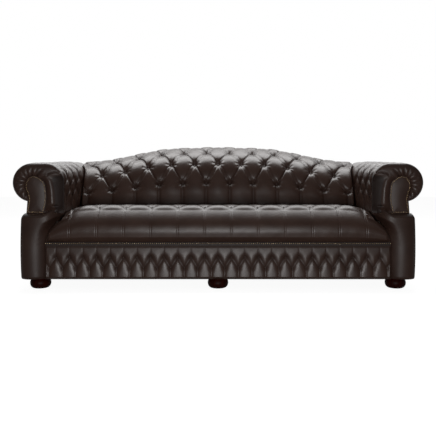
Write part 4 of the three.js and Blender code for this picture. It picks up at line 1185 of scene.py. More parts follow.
@dataclass
class ScrollArm:
    """One arm: buttoned pad, gathered border, facing with its nails, base and outside panel."""

    finishes: Finishes
    side: Side
    first_button: float = 0.197
    first_row: float = 0.131
    row_pitch: float = 0.069
    buttons_along: int = 4
    back_face: float = 0.560
    back_slope: float = 0.20
    pressed_rise: float = 0.0272
    cover_thickness: float = 0.020
    section: ArmSection = field(default_factory=lambda: ArmSection(0.028))
    tufts: Tufting = field(default_factory=lambda: Tufting(
        pitch=SIZES.button_pitch, last_row=4, sink=0.021, cone=0.017, dome=0.010, roundness=0.38,
        crease=0.004, crease_width=0.0036, lip=0.0095, pucker=0.001))
    outline: tuple = (
        (0.14, 0), (0.093, 0.108), (0.042, 0.191), (0.014, 0.321), (0, 0.431), (0.018, 0.56), (0.042, 0.7),
        (0.093, 0.811), (0.196, 0.889), (0.3, 0.93), (0.421, 0.968), (0.603, 1), (0.799, 0.973), (0.925, 0.889),
        (0.985, 0.8), (1, 0.728), (0.981, 0.65), (0.93, 0.593), (0.864, 0.488), (0.822, 0.377), (0.835, 0.3),
        (0.864, 0.191), (0.925, 0))
    sewn_margin: float = 0.0020
    nail_margin: float = 0.0075
    neck_foot: float = 1.1633
    border_marks: tuple = (0, 0.2374, 0.4207, 0.5198, 0.7342, 0.8415, 0.9143, 1)
    sewn_places: tuple = (0, 7, 9, 11, 15, 17, 19, 22)
    pleats: tuple = (50, 68, 90, 112, 133, 157, 180, 203, 224, 244)
    fold: tuple = ((0.993, 0.500), (0.992, 0.522), (0.9955, 0.578), (1.000, 0.618), (1.011, 0.657), (1.034, 0.688))
    top_tuck: tuple = ((0.955, 0.703), (0.980, 0.708), (0.996, 0.7055), (1.015, 0.699), (1.034, 0.688))
    foot_tuck: tuple = (0.985, 0.501)
    base_bottom: float = 0.0603
    base_inner_top: float = 0.503
    base_crown: float = 0.46
    base_rear: float = 0.0455
    base_grid: tuple = (60, 110)
    panel_top: float = 0.552
    panel_front: float = 0.1106
    panel_at: float = 1.1553

    def spot(self, u: Array, depth: Array, height: Array) -> Array:
        """Points from distances from the middle, depths and heights."""
        return np.stack([self.side.value * u, SIZES.y(depth), height], axis=1)

    def build(self) -> None:
        """Makes every piece of the arm."""
        self.pad()
        self.border()
        self.facing()
        self.base()
        self.outside_panel()

    def pad_place(self, a: Array, b: Array) -> Pair:
        """The depth and the length along the section at shares of the pad's grid."""
        return blend(SIZES.arm_cover_front, SIZES.arm_rear, a), b * self.section.total

    def pad_relief(self, depth: Array, length: Array) -> Pair:
        """The buttoned relief of the pad, pressed flat where the back's end meets it.

        Args:
            depth: Depths.
            length: Places along the section.

        Returns:
            The relief in metres, and from 0 in the creases to 1 on the puffs.
        """
        column = (depth - self.first_button) / self.tufts.pitch
        row = (length - self.first_row) / self.row_pitch
        rise, puff = self.tufts.relief(column, row, np.full(row.shape, self.row_pitch), -np.ones(row.shape))
        rise = rise + 0.0016 * ripple(depth, length, 0.08, 11 + self.side.value) * puff
        ends = (0.8 + 0.2 * fade(depth - SIZES.arm_cover_front, 0.020)) * fade(SIZES.arm_rear - depth, 0.030)
        hems = fade(length, 0.06) * fade(self.section.total - length, 0.06)
        back_face = self.back_face + self.back_slope * np.clip(length - 0.040, 0, 0.350)
        pressed = fade(depth - back_face, 0.045) * fade(0.400 - length, 0.050)
        return blend(rise * ends * hems, self.pressed_rise, pressed), puff

    def pad_surface(self, depth: Array, length: Array, offset: Array) -> Array:
        """A point of the pad, moved out of its section by an offset."""
        u, z = self.section.at(length, offset)
        return self.spot(u, depth, z)

    def pad(self) -> None:
        """The buttoned pad of the inside, top and scroll, with its buttons."""
        word = self.side.word
        pad = MeshWorks.tufted(f"arm_pad_{word}", (188, 170), self.pad_place, self.pad_relief, self.pad_surface,
                               (12, 60), self.pad_place, self.cover_thickness, Vector((0, 0, 1)))
        settle(pad, self.finishes.hide, "leather", f"arm_cover_{word}", fill=0.8)
        spots = [(self.first_button + (k + row % 2 / 2) * self.tufts.pitch, self.first_row + row * self.row_pitch)
                 for row in range(self.tufts.last_row + 1) for k in range(self.buttons_along)]
        seats = MeshWorks.seats(self.pad_surface, spots, 0.1)
        Trim(self.finishes).buttons(f"arm_buttons_{word}", seats, 0.0105, 0.006)

    def facing_curve(self, margin: float, share: Array) -> Pair:
        """The facing's outline, drawn in by a margin.

        Args:
            margin: How far it is drawn in on every side.
            share: Shares of its length.

        Returns:
            Distances from the middle and heights.
        """
        across = [blend(SIZES.facing_inner + margin, SIZES.facing_outer - margin, a) for a, _ in self.outline]
        up = [blend(SIZES.facing_bottom + margin, SIZES.facing_top - margin, b) for _, b in self.outline]
        fine = np.linspace(0, len(self.outline) - 1, 600)
        u, z = catmull(across, fine)[0], catmull(up, fine)[0]
        run = run_along(u, z)
        return np.interp(share * run[-1], run, u), np.interp(share * run[-1], run, z)

    def border_curve(self, share: Array, inset: Array) -> Pair:
        """The arm's outer section, from the facing's inner foot to the neck under the scroll.

        Args:
            share: Shares of the section's length.
            inset: How far the section is drawn in at each place.

        Returns:
            Distances from the middle and heights.
        """
        points, ways = [(SIZES.arm_inner, SIZES.facing_bottom)], [(-1.0, 0.0)]
        for centre, radius, first, last in (
                (SIZES.roll_centre, SIZES.inner_roll_radius, np.pi, np.pi / 2),
                (SIZES.scroll_centre, SIZES.scroll_radius, np.pi / 2, SIZES.scroll_end)):
            for turn in np.linspace(first, last, 90):
                way = (math.cos(turn), math.sin(turn))
                points.append((centre[0] + radius * way[0], centre[1] + radius * way[1]))
                ways.append(way)
        points.append((self.neck_foot, SIZES.facing_bottom))
        ways.append((1.0, 0.0))
        table, out = np.array(points), np.array(ways)
        run = run_along(*table.T)
        spot = share * run[-1]
        u, z, out_u, out_z = (np.interp(spot, run, column) for column in (*table.T, *out.T))
        return u - out_u * inset, z - out_z * inset

    def fold_relief(self, u: Array, z: Array) -> Array:
        """The fold where the gathered roll laps over the inside leather, and the tucks at its ends.

        Args:
            u: Distances from the middle.
            z: Heights.

        Returns:
            How much further back the leather lies.
        """
        line_u = np.interp(z, [p[1] for p in self.fold], [p[0] for p in self.fold])
        along = fade(z - self.fold[0][1], 0.02) * fade(self.fold[-1][1] + 0.004 - z, 0.02)
        past = u - line_u
        over = fade(past + 0.0095, 0.019)
        lap = -0.0036 * np.exp(-(((past - 0.015) / 0.018) ** 2)) * over
        under = (0.0030 + 0.42 * np.maximum(-past, 0)) * (1 - over) * fade(self.fold[-1][1] + 0.012 - z, 0.055)
        tuck_z = np.interp(u, [p[0] for p in self.top_tuck], [p[1] for p in self.top_tuck])
        within = fade(u - self.top_tuck[0][0] + 0.012, 0.02) * fade(self.top_tuck[-1][0] + 0.004 - u, 0.012)
        tuck = 0.0060 * np.exp(-np.abs(z - tuck_z) / 0.0055) * within
        foot = 0.0070 * np.exp(-np.abs(z - self.foot_tuck[1]) / 0.005) \
            * np.exp(-(((u - self.foot_tuck[0]) / 0.017) ** 4))
        return lap * along + under + tuck + foot

    def border(self) -> None:
        """The gathered border: pleats run from the facing's edge out over a full roll."""
        scroll = SIZES.scroll_centre
        word = self.side.word
        sewn = self.facing_marks()
        draw = np.random.default_rng(7)
        pleats = [(math.radians(angle + draw.uniform(-3, 3)), draw.uniform(0.55, 1.15), draw.uniform(-0.14, 0.14))
                  for angle in self.pleats]

        def roll(a: Array, b: Array) -> Pair:
            """The gathered surface, from the facing's edge forwards, out and back over the arm.

            Args:
                a: Shares from the facing's edge to the arm.
                b: Shares along the border.

            Returns:
                The points and their puff values.
            """
            near_u, near_z = self.facing_curve(self.sewn_margin, np.interp(b, self.border_marks, sewn))
            turn = a * 1.35 * np.pi
            front = np.minimum(turn, np.pi)
            rear = np.clip((turn - np.pi) / (0.35 * np.pi), 0, 1)
            far_u, far_z = self.border_curve(b, 0.018 * np.clip((rear - 0.5) / 0.5, 0, 1) ** 2)
            reach = (1 - np.cos(front)) / 2
            u, z = blend(near_u, far_u, reach), blend(near_z, far_z, reach)
            narrow = np.clip(np.hypot(far_u - near_u, far_z - near_z) / 0.045, 0.08, 1)
            foot = np.where(b < 0.3, fade(z - 0.462, 0.050), 1.0)
            depth = SIZES.front_board - 0.0005 - 0.0265 * narrow * foot * np.sin(front) ** 0.85 + 0.062 * rear
            angle = np.pi - np.arctan2(z - scroll[1], u - scroll[0])
            groove = np.zeros(a.shape)
            for middle, strength, sway in pleats:
                off = angle - middle - sway * (reach - 0.3)
                away = np.abs(np.arctan2(np.sin(off), np.cos(off))) * np.hypot(u - scroll[0], z - scroll[1])
                deep = 0.0085 * strength * np.clip(1.0 - reach / 0.66, 0, 1) ** 0.7 * fade(front, 0.5)
                groove += deep * (np.exp(-away / 0.0040) - 0.34 * np.exp(-(((away - 0.017) / 0.011) ** 2)))
            groove = groove * fade(b - 0.30, 0.10) * fade(0.97 - b, 0.05) * (rear <= 0)
            fold = self.fold_relief(u, z) * fade(front, 0.9) * (1 - rear) ** 2 * fade(0.5 - b, 0.02)
            puff = np.clip(0.62 - groove / 0.008 - fold / 0.012, 0, 1)
            return self.spot(u, depth + groove + fold, z), puff

        def lining(a: Array, b: Array) -> Pair:
            """The plain surface behind it.

            Args:
                a: Shares from the facing's edge to the arm.
                b: Shares along the border.

            Returns:
                The points and their puff values.
            """
            near_u, near_z = self.facing_curve(self.sewn_margin, np.interp(b, self.border_marks, sewn))
            far_u, far_z = self.border_curve(b, 0.027 * np.ones(b.shape))
            share = np.interp(a, [0, 0.5, 1], [0.0, 1.0, 1.0])
            depth = np.interp(a, [0, 0.5, 1], [SIZES.front_board - 0.0002, SIZES.front_board, 0.108])
            return self.spot(blend(near_u, far_u, share), depth, blend(near_z, far_z, share)), a * 0

        border = MeshWorks.cover(f"arm_border_{word}", (56, 460), roll, (6, 60), lining, FORWARD)
        settle(border, self.finishes.hide, "leather", f"arm_front_border_{word}", fill=0.9)

    def facing_marks(self) -> Array:
        """Where along the facing's edge the border's marked places are sewn to it.

        Returns:
            Shares of the edge's length.
        """
        last, steps = len(self.outline) - 1, 1200
        u, z = self.facing_curve(0.0, np.linspace(0, 1, steps))
        marks = []
        for index in self.sewn_places:
            across, up = self.outline[index]
            goal_u = blend(SIZES.facing_inner, SIZES.facing_outer, across)
            goal_z = blend(SIZES.facing_bottom, SIZES.facing_top, up)
            nearest = np.argmin(np.hypot(u - goal_u, z - goal_z)) / (steps - 1)
            marks.append(nearest if 0 < index < last else index / last)
        return np.array(marks)

    def facing(self) -> None:
        """The facing: a crowned scroll panel and its row of nails."""
        word = self.side.word
        edge_u, edge_z = self.facing_curve(0.0, np.linspace(0, 1, 150))
        outline = list(zip((self.side.value * edge_u).tolist(), edge_z.tolist()))

        def crown(x: Array, z: Array) -> Array:
            """Full in the middle, with a slight bead at the edge.

            Args:
                x: Places across.
                z: Heights.

            Returns:
                How far the panel stands out.
            """
            ring = np.array(outline + outline[:1])
            start, step = ring[:-1], np.diff(ring, axis=0)
            spot = np.stack([x, z], axis=1)[:, None, :] - start
            share = np.clip((spot * step).sum(2) / (step**2).sum(1), 0, 1)
            inside = np.linalg.norm(spot - share[:, :, None] * step, axis=2).min(1)
            full = 1 - (1 - np.clip(inside / 0.060, 0, 1)) ** 2
            return 0.0072 * full + 0.0012 * fade(0.006 - inside, 0.006)

        panel = MeshWorks.panel(
            f"arm_facing_pad_{word}", outline, lambda x, z: Vector((x, SIZES.y(SIZES.facing_front + 0.0005), z)),
            (np.arange(-1.20, 1.20, 0.006), np.arange(0.459, 0.69, 0.006)), crown, 0.005, FORWARD)
        settle(panel, self.finishes.hide, "leather", f"arm_facing_{word}", fill=0.5)
        u, z = self.facing_curve(self.nail_margin, np.linspace(0, 1, 55))
        heads = list(zip(u, z)) + [(across, z[0]) for across in np.linspace(u[0], u[-1], 10)[1:-1]]
        front = SIZES.y(SIZES.facing_front - 0.0015)
        places = [(self.side.value * across, front, up) for across, up in heads]
        Trim(self.finishes).nails(f"facing_nails_{word}", places, f"facing_nail_trim_{word}")

    def base(self) -> None:
        """The padded base: a full plinth that sweeps up past the seat's end to the inside arm."""
        word = self.side.word

        def front(a: Array, b: Array) -> Pair:
            """The padded surface.

            Args:
                a: Shares from the outside to the inside.
                b: Shares from the foot to the top.

            Returns:
                The points and their puff values.
            """
            outer_z = blend(self.base_bottom, SIZES.base_top, b)
            inner_z = blend(self.base_bottom, self.base_inner_top, b)
            outer_u = SIZES.base_outer + 0.008 * np.sin(np.pi * b) ** 0.5
            outer_u = outer_u - 0.012 * np.clip((b - 0.9) / 0.1, 0, 1) ** 2
            beside = np.clip(SIZES.seat_edge(inner_z) - 0.016, 0.953, SIZES.base_inner)
            inner_u = blend(SIZES.base_inner, beside, fade(inner_z - 0.275, 0.060))
            inner_u = blend(inner_u, 0.962, fade(inner_z - 0.450, 0.040))
            share = fade(a - 0.52, 0.48)
            u, z = blend(outer_u, inner_u, a), blend(outer_z, inner_z, share)
            high = fade(inner_z - 0.285, 0.150)
            crown = self.base_crown
            outside, inside = np.clip((crown - a) / crown, 0, 1), np.clip((a - crown) / (1 - crown), 0, 1)
            depth = 0.001 + 0.026 * outside**2.6 + blend(0.034, 0.115, high) * inside ** blend(2.3, 3.0, high)
            top = np.clip((b - 0.93) / 0.07, 0, 1) * (1 - fade(share - 0.85, 0.15))
            depth = depth + 0.030 * top**2.4 + 0.008 * np.clip((0.04 - b) / 0.04, 0, 1) ** 2
            depth = depth + 0.0012 * ripple(u, z, 0.16, 21)
            return self.spot(u, depth, z), np.full(a.shape, 0.5) + 0.1 * ripple(u, z, 0.2, 5)

        def rear(a: Array, b: Array) -> Pair:
            """The plain surface behind it, against the frame.

            Args:
                a: Shares from the outside to the inside.
                b: Shares from the foot to the top.

            Returns:
                The points and their puff values.
            """
            points, _ = front(a, b)
            points[:, 1] = np.maximum(points[:, 1] + 0.004, SIZES.y(self.base_rear))
            return points, a * 0

        pad = MeshWorks.cover(f"arm_base_pad_{word}", self.base_grid, front, (20, 24), rear, FORWARD)
        x, _, z = np.array([v.co[:] for v in pad.data.vertices]).T
        edge = np.minimum.reduce([
            fade(z - SIZES.base_bottom, 0.03), fade(SIZES.base_top - z, 0.03),
            fade(SIZES.base_outer + 0.004 - np.abs(x), 0.02), fade(np.abs(x) - SIZES.seat_edge(z) + 0.016, 0.04)])
        showing = (self.base_grid[0] + 1) * (self.base_grid[1] + 1)
        Filling().swell(pad, np.where(np.arange(len(x)) < showing, 1 - edge, 1.0))
        settle(pad, self.finishes.hide, "leather", f"arm_base_{word}", fill=0.7)

    def outside_panel(self) -> None:
        """The outside arm: leather drawn tight over wadding, from under the scroll to the floor edge."""
        word, side = self.side.word, self.side.value
        front, rear, foot, top = SIZES.front_board + 0.0005, SIZES.arm_rear, SIZES.rail_level, self.panel_top
        step = (self.panel_front, SIZES.base_top - 0.0002)
        outline = [(front, foot), (rear, foot), (rear, top), (step[0], top), step, (front, step[1])]

        def swell(depth: Array, height: Array) -> Array:
            """A slight fullness away from the edges."""
            edge = np.minimum(fade(depth - front, 0.05) * fade(rear - depth, 0.05), fade(height - foot, 0.06))
            return 0.006 * edge + 0.0016 * edge * ripple(depth, height, 0.22, 31)

        panel = MeshWorks.panel(
            f"outside_arm_panel_{word}", outline, lambda d, z: Vector((side * self.panel_at, SIZES.y(d), z)),
            (np.arange(0.06, 0.87, 0.02), np.arange(0.075, 0.55, 0.02)), swell, 0.005, Vector((side, 0, 0)))
        settle(panel, self.finishes.hide, "leather", f"outside_arm_{word}", fill=0.3)


@dataclass
class FrontBorder:
    """The diamond-buttoned border under the seat, with the row of nails above it."""

    finishes: Finishes
    half: float = 1.0444
    crease_depth: float = 0.0225
    thickness: float = 0.0113
    button_sink: float = 0.0024
    row_sink: float = 0.004
    high_row: int = 25
    nail_depth: float = 0.0205
    top: float = 0.2690
    high_buttons: float = 0.192
    low_buttons: float = 0.1285
    pitch: float = SIZES.button_pitch / 2
    pit: float = 0.0165
    pit_depth: float = 0.0055
    lobe_rise: float = 0.0070
    lobe_edge: float = 0.0110
    lobe_lean: float = 0.0085
    shield_rise: float = 0.0075
    shield_edge: float = 0.0170

    def relief(self, x: Array, height: Array) -> Pair:
        """The buttoned relief: full lobes under the high buttons, and shields between them above.

        Args:
            x: Distances from the middle.
            height: Heights.

        Returns:
            The relief in metres, and from 0 in the creases to 1 on the lobes.
        """
        row_pitch = self.high_buttons - self.low_buttons
        fall = (self.high_buttons - height) / row_pitch
        off = np.abs(x / self.pitch - np.round(x / self.pitch))
        slant = row_pitch * math.cos(math.atan2(row_pitch, self.pitch / 2))
        below = np.minimum((fall - 2 * off) * slant, (0.5 - off) * self.pitch)
        above = np.maximum(2 * off - fall, 0) * slant
        lean = self.lobe_lean * np.clip(fall * row_pitch / (self.high_buttons - SIZES.base_bottom), 0, 1)
        lobe = self.lobe_rise * (1 - np.exp(-np.maximum(below, 0) / self.lobe_edge)) + lean
        drop = np.clip((self.top - height) / (self.top - self.high_buttons), 0, 1)
        shield = self.shield_rise * drop
        shield = shield * (1 - np.exp(-((above / self.shield_edge) ** 1.5)))
        shield = shield + lean - 0.0016 * np.exp(-off * self.pitch / 0.0032) * fade(drop, 0.3)
        rise = np.where(below > 0, lobe, shield)
        near = np.minimum(np.hypot(off * self.pitch, fall * row_pitch),
                          np.hypot((0.5 - off) * self.pitch, (fall - 1) * row_pitch))
        rise = rise + self.pit_depth * (1 - np.exp(-((near / self.pit) ** 1.7))) * fade(drop, 0.3)
        ends = fade(height - SIZES.base_bottom, 0.016) * fade(self.half - np.abs(x), 0.012)
        return rise * ends, np.clip(rise / (self.pit_depth + self.lobe_rise), 0, 1)

    def place(self, u: Array, v: Array) -> Pair:
        """The place across and the height at shares of the grid."""
        return (2 * u - 1) * self.half, blend(SIZES.base_bottom, SIZES.rail_top, v)

    def surface(self, x: Array, height: Array, offset: Array) -> Array:
        """A point of the border, moved forwards by an offset."""
        return np.stack([x, SIZES.y(self.crease_depth - offset), height], axis=1)

    def build(self) -> None:
        """Makes the border, its buttons and the nails."""
        grid = (round(2 * self.half / (self.pitch / 26)), 72)
        border = MeshWorks.tufted("front_border_pad", grid, self.place, self.relief, self.surface, (60, 6),
                                  self.place, self.thickness, FORWARD)
        settle(border, self.finishes.hide, "leather", "front_border", fill=0.7)
        trim = Trim(self.finishes)
        seats = [(Vector((x, SIZES.y(self.crease_depth - self.button_sink - self.row_sink * row), height)), FORWARD)
                 for row, height in enumerate((self.high_buttons, self.low_buttons))
                 for x in centred(self.high_row - row, self.pitch)]
        trim.buttons("border_buttons", seats, 0.0072, 0.0052)
        count = round(2 * self.half / SIZES.nail_pitch)
        level = (self.top + SIZES.rail_top) / 2
        places = [((2 * k / count - 1) * (self.half - 0.004), SIZES.y(self.nail_depth), level)
                  for k in range(count + 1)]
        trim.nails("front_nails", places, "front_nail_trim")


@dataclass
class OutsideBack:
    """The outside back: three lengths of leather sewn together and drawn over the frame."""

    finishes: Finishes
    half: float = 0.938
    foot_half: float = 1.1503
    front: float = 0.8773
    hem: float = 0.720
    inset: float = 0.017
    corner_reach: tuple = (0.003, 0.0172)
    thickness: float = 0.005
    seams: tuple = (-0.470, 0.470)

    def outline(self) -> list[tuple[float, float]]:
        """The panel's corners: round both scrolls and along the camel curve between them.

        Returns:
            Distances from the middle and heights.
        """
        scroll, outer = SIZES.scroll_centre, SIZES.scroll_radius - self.inset
        neck = math.acos((self.foot_half - scroll[0]) / outer)
        right = [(self.foot_half, SIZES.rail_level), *arc(scroll, outer, np.linspace(-neck, math.pi / 2, 28))]
        for turn, reach in zip(np.linspace(math.pi / 2, math.pi, 14), np.linspace(*self.corner_reach, 14)):
            right += arc(SIZES.roll_centre, SIZES.inner_roll_radius - self.inset + reach, [turn])
        hem_x = np.linspace(self.half, -self.half, 61)
        hem = list(zip(hem_x.tolist(), (self.hem - SIZES.crest_drop(hem_x)).tolist()))
        return right + hem + [(-x, z) for x, z in reversed(right)]

    def build(self) -> None:
        """Makes the panel."""

        def swell(x: Array, height: Array) -> Array:
            """A slight fullness away from the edges, drawn in along the seams.

            Args:
                x: Distances from the middle.
                height: Heights.

            Returns:
                How far the panel stands out.
            """
            edge = fade(height - SIZES.rail_level, 0.05) * fade(1.150 - np.abs(x), 0.06)
            edge = edge * fade(self.hem - 0.008 - SIZES.crest_drop(x) - height, 0.09)
            groove = sum(np.exp(-(((x - seam) / 0.004) ** 2)) for seam in self.seams)
            return 0.009 * edge * (1 + 0.2 * ripple(x, height, 0.4, 41)) - 0.0028 * groove * fade(edge, 0.3)

        seam_cuts = [seam + step for seam in self.seams for step in (-0.008, -0.004, 0, 0.004, 0.008)]
        across = sorted([*np.arange(-1.20, 1.21, 0.025).tolist(), *seam_cuts])
        up = [*np.arange(0.08, 0.54, 0.022), *np.arange(0.545, 0.74, 0.007)]
        panel = MeshWorks.panel(
            "outside_back_panel", self.outline(), lambda x, z: Vector((x, SIZES.y(self.front), z)),
            (across, up), swell, self.thickness, Vector((0, 1, 0)))
        settle(panel, self.finishes.hide, "leather", "outside_back", fill=0.3)


@dataclass
class BunFeet:
    """Six low turned feet."""

    finishes: Finishes
    radius: float = 0.063
    height: float = 0.060
    profile: tuple = (
        (0.0, 0.0), (0.64, 0.0), (0.70, 0.01), (0.80, 0.06), (0.90, 0.16), (0.965, 0.30), (1.0, 0.48),
        (0.99, 0.64), (0.945, 0.78), (0.88, 0.88), (0.84, 0.92), (0.84, 0.95), (0.80, 1.0), (0.0, 1.0))

    def build(self) -> None:
        """Turns each foot where its node stands."""
        for row in ("front", "rear"):
            for place in ("left", "centre", "right"):
                node = f"foot_{row}_{place}"
                low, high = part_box(node)
                middle = (low + high) / 2
                bm = bmesh.new()
                verts = [bm.verts.new((r * self.radius, 0, z * self.height)) for r, z in self.profile]
                edges = [bm.edges.new(pair) for pair in zip(verts, verts[1:])]
                bmesh.ops.spin(bm, geom=verts + edges, axis=(0, 0, 1), cent=(0, 0, 0), dvec=(0, 0, 0),
                               angle=2 * math.pi, steps=56, use_merge=True)
                bmesh.ops.remove_doubles(bm, verts=bm.verts[:], dist=0.00005)
                bmesh.ops.recalc_face_normals(bm, faces=bm.faces[:])
                bmesh.ops.translate(bm, verts=bm.verts[:], vec=(middle.x, middle.y, 0))
                foot = MeshWorks.from_bmesh(f"bun_{row}_{place}", bm)
                settle(foot, self.finishes.dark_wood, "dark_wood", node)


@dataclass
class InnerLayers:
    """The padding, hessian and dust cover that the leather hides."""

    finishes: Finishes

    def build(self) -> None:
        """Makes each hidden layer in the space that its node holds."""
        for node in ("seat_padding", "back_padding", "arm_roll_padding_left", "arm_roll_padding_right",
                     "arm_side_padding_left", "arm_side_padding_right"):
            self.wad(node)
        self.sheet("seat_hessian", self.finishes.jute, "hessian")
        self.sheet("dust_cover", self.finishes.dust_cloth, "black_cloth")
        self.back_sheet()

    def wad(self, node: str) -> None:
        """A piece of wadding with softened edges, made from a merged copy of its node.

        Args:
            node: The CAD node that it stands for.
        """
        bm = bmesh.new()
        bm.from_mesh(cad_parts[node].data)
        bmesh.ops.remove_doubles(bm, verts=bm.verts[:], dist=0.00005)
        bmesh.ops.dissolve_limit(bm, angle_limit=0.02, verts=bm.verts[:], edges=bm.edges[:])
        sharp = [e for e in bm.edges if len(e.link_faces) == 2 and e.calc_face_angle(0) > 0.7]
        bmesh.ops.bevel(bm, geom=sharp, offset=0.006, segments=3, profile=0.5, affect="EDGES", material=-1,
                        clamp_overlap=True)
        bmesh.ops.triangulate(bm, faces=bm.faces[:])
        piece = MeshWorks.from_bmesh(node.replace("padding", "wadding"), bm, smooth=False)
        settle(piece, self.finishes.wadding, "padding", node, fill=0.7)

    def sheet(self, node: str, material: bpy.types.Material, slot: str) -> None:
        """A level sheet of cloth, stretched over what carries it.

        Args:
            node: The CAD node that it stands for.
            material: Its finish.
            slot: The record's slot.
        """
        low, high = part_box(node)
        size = high - low

        def spread(u: Array, v: Array) -> Pair:
            """The sheet's upper side, barely uneven."""
            z = high.z - 0.0004 + 0.0003 * ripple(u, v, 0.1, 51)
            return np.stack([low.x + size.x * u, low.y + size.y * v, z], axis=1), u * 0

        bm, layer = MeshWorks.start()
        MeshWorks.lay_grid(bm, 96, 36, spread, layer, Vector((0, 0, 1)))
        piece = MeshWorks.from_bmesh(f"{node}_cloth", bm)
        MeshWorks.thicken(piece, min(0.0012, size.z * 0.6))
        settle(piece, material, slot, node)

    def back_sheet(self) -> None:
        """The hessian behind the back padding, cut to the camel curve."""
        low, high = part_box("back_hessian")

        def spread(u: Array, v: Array) -> Pair:
            """The sheet's front side."""
            x = low.x + (high.x - low.x) * u
            z = low.z + (high.z - SIZES.crest_drop(x) - low.z) * v
            return np.stack([x, np.full(x.shape, low.y + 0.0008), z], axis=1), u * 0

        bm, layer = MeshWorks.start()
        MeshWorks.lay_grid(bm, 96, 30, spread, layer, FORWARD)
        area = sum(f.calc_area() for f in bm.faces)
        piece = MeshWorks.from_bmesh("back_hessian_cloth", bm)
        MeshWorks.thicken(piece, 0.0010)
        settle(piece, self.finishes.jute, "hessian", "back_hessian")


@dataclass
class HiddenFrame:
    """The hardwood frame and springs: CAD nodes that keep their shape and get their finish."""

    finishes: Finishes

    def build(self) -> None:
        """Dresses every node that no piece stands for."""
        for name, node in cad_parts.items():
            if node.hide_render:
                continue
            node.data.materials.clear()
            node.data.materials.append(self.finish_of(name))
            LOG.info("%s keeps its solid", name)

    def finish_of(self, name: str) -> bpy.types.Material:
        """The finish of a frame node, with the grain along its length.

        Args:
            name: The node's name.

        Returns:
            Its material.
        """
        if name == "seat_springs":
            return self.finishes.steel
        if any(word in name for word in ("post", "upright", "arm_front_board")):
            return self.finishes.beech[GrainAxis.UP]
        if any(word in name for word in ("side_rail", "cross_rail", "arm_top", "arm_tack")):
            return self.finishes.beech[GrainAxis.DEPTH]
        return self.finishes.beech[GrainAxis.ACROSS]


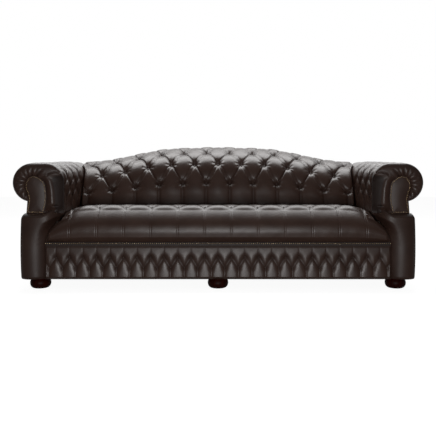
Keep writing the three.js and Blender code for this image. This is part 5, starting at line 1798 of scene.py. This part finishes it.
@dataclass
class Studio:
    """The pale floor, the lamps and the camera."""

    camera_distance: float = 3.8
    camera_height: float = 0.810
    focal_pixels: float = 633.3
    picture: float = 436.0
    horizon: float = 155.0

    def build(self) -> None:
        """Makes everything round the sofa."""
        self.floor()
        self.world()
        self.lamp("top_lamp", (0, 0.85, 2.95), (0, 0.10, 0.5), (3.8, 1.70), 84)
        self.lamp("front_lamp", (0, -4.9, 0.42), (0, -0.4, 0.4), (1.60, 0.75), 106)
        self.camera()

    @staticmethod
    def background_rays(nodes: Nodes, behind: Socket) -> Socket:
        """One where the camera looks, and where a gloss or a glass looks at what lies behind the sofa.

        Args:
            nodes: The builder of the tree that asks.
            behind: One where the place or direction lies behind the sofa.

        Returns:
            The share of the white background.
        """
        path = nodes.add("LightPath").outputs
        sharp = nodes.math("MAXIMUM", path["Is Glossy Ray"], path["Is Transmission Ray"])
        return nodes.math("MAXIMUM", path["Is Camera Ray"], nodes.math("MULTIPLY", sharp, behind))

    def floor(self) -> None:
        """A plain pale floor that keeps the sofa's shadow."""
        bm = bmesh.new()
        bmesh.ops.create_circle(bm, cap_ends=True, segments=96, radius=9.0)
        floor = MeshWorks.from_bmesh("studio_floor", bm, smooth=False)
        material = bpy.data.materials.new("pale_floor")
        material.use_nodes = True
        nodes = Nodes(material.node_tree)
        nodes.tree.nodes.clear()
        matt = nodes.add("BsdfDiffuse", {"Color": (0.30, 0.30, 0.30, 1)})
        glow = nodes.add("Emission", {"Color": (1, 1, 1, 1), "Strength": 0.93})
        lit = nodes.add("AddShader", {0: matt.outputs[0], 1: glow.outputs[0]})
        place = nodes.axis(nodes.add("TexCoord").outputs["Object"], "Y")
        share = self.background_rays(nodes, nodes.spread(place, -0.6, 0.4))
        seen = nodes.add("MixShader", {0: share, 1: matt.outputs[0], 2: lit.outputs[0]})
        nodes.add("OutputMaterial", {"Surface": seen.outputs[0]})
        floor.data.materials.append(material)

    def world(self) -> None:
        """A white surround for the camera, and a weak even light for the sofa."""
        world = bpy.data.worlds.new("studio_world")
        bpy.context.scene.world = world
        world.use_nodes = True
        nodes = Nodes(world.node_tree)
        nodes.tree.nodes.clear()
        direction = nodes.add("TexCoord").outputs["Generated"]
        behind = nodes.axis(direction, "Y")
        low = nodes.spread(nodes.axis(direction, "Z"), 0.66, 0.86, 1.0, 0.0)
        beside = nodes.math("ABSOLUTE", nodes.axis(direction, "X"))
        low = nodes.math("MULTIPLY", low, nodes.spread(beside, 0.40, 0.70, 1.0, 0.0))
        share = self.background_rays(nodes, nodes.math("MULTIPLY", nodes.spread(behind, 0.05, 0.4), low))
        even = nodes.add("Background", {"Color": (1.0, 1.0, 1.0, 1), "Strength": 0.13})
        white = nodes.add("Background", {"Color": (1, 1, 1, 1), "Strength": 1.0})
        both = nodes.add("MixShader", {0: share, 1: even.outputs[0], 2: white.outputs[0]})
        nodes.add("OutputWorld", {"Surface": both.outputs[0]})

    @staticmethod
    def lamp(name: str, place: tuple, target: tuple, size: tuple, power: float) -> None:
        """One soft box.

        Args:
            name: The lamp's name.
            place: Where it hangs.
            target: What it points at.
            size: Its width and height.
            power: Its power in watts.
        """
        light = bpy.data.lights.new(name, "AREA")
        light.shape, light.size, light.size_y, light.energy = "RECTANGLE", size[0], size[1], power
        lamp = bpy.data.objects.new(name, light)
        lamp.location = place
        lamp.rotation_euler = (Vector(target) - Vector(place)).to_track_quat("-Z", "Y").to_euler()
        bpy.context.scene.collection.objects.link(lamp)

    def camera(self) -> None:
        """The camera: level, in front of the middle, with the lens drawn down to the floor."""
        data = bpy.data.cameras.new("photo_camera")
        data.sensor_width = 36.0
        data.lens = 36.0 * self.focal_pixels / self.picture
        data.shift_y = (self.horizon - self.picture / 2) / self.picture
        data.clip_end = 60
        camera = bpy.data.objects.new("photo_camera", data)
        camera.location = (0, SIZES.y(-self.camera_distance), self.camera_height)
        camera.rotation_euler = (math.pi / 2, 0, 0)
        bpy.context.scene.collection.objects.link(camera)
        bpy.context.scene.camera = camera
        bpy.context.scene.view_settings.view_transform = "Standard"


def main() -> None:
    """Builds the sofa from the inside out, then the studio."""
    logging.basicConfig(level=logging.INFO, format="%(name)s: %(message)s")
    finishes = Finishes()
    assemblies = [
        InnerLayers(finishes), BunFeet(finishes), SeatCushion(finishes), BackCushion(finishes),
        ScrollArm(finishes, Side.LEFT), ScrollArm(finishes, Side.RIGHT),
        FrontBorder(finishes), OutsideBack(finishes), HiddenFrame(finishes), Studio(),
    ]
    for assembly in assemblies:
        LOG.info("building %s", type(assembly).__name__)
        assembly.build()


if __name__ == "__main__":
    main()
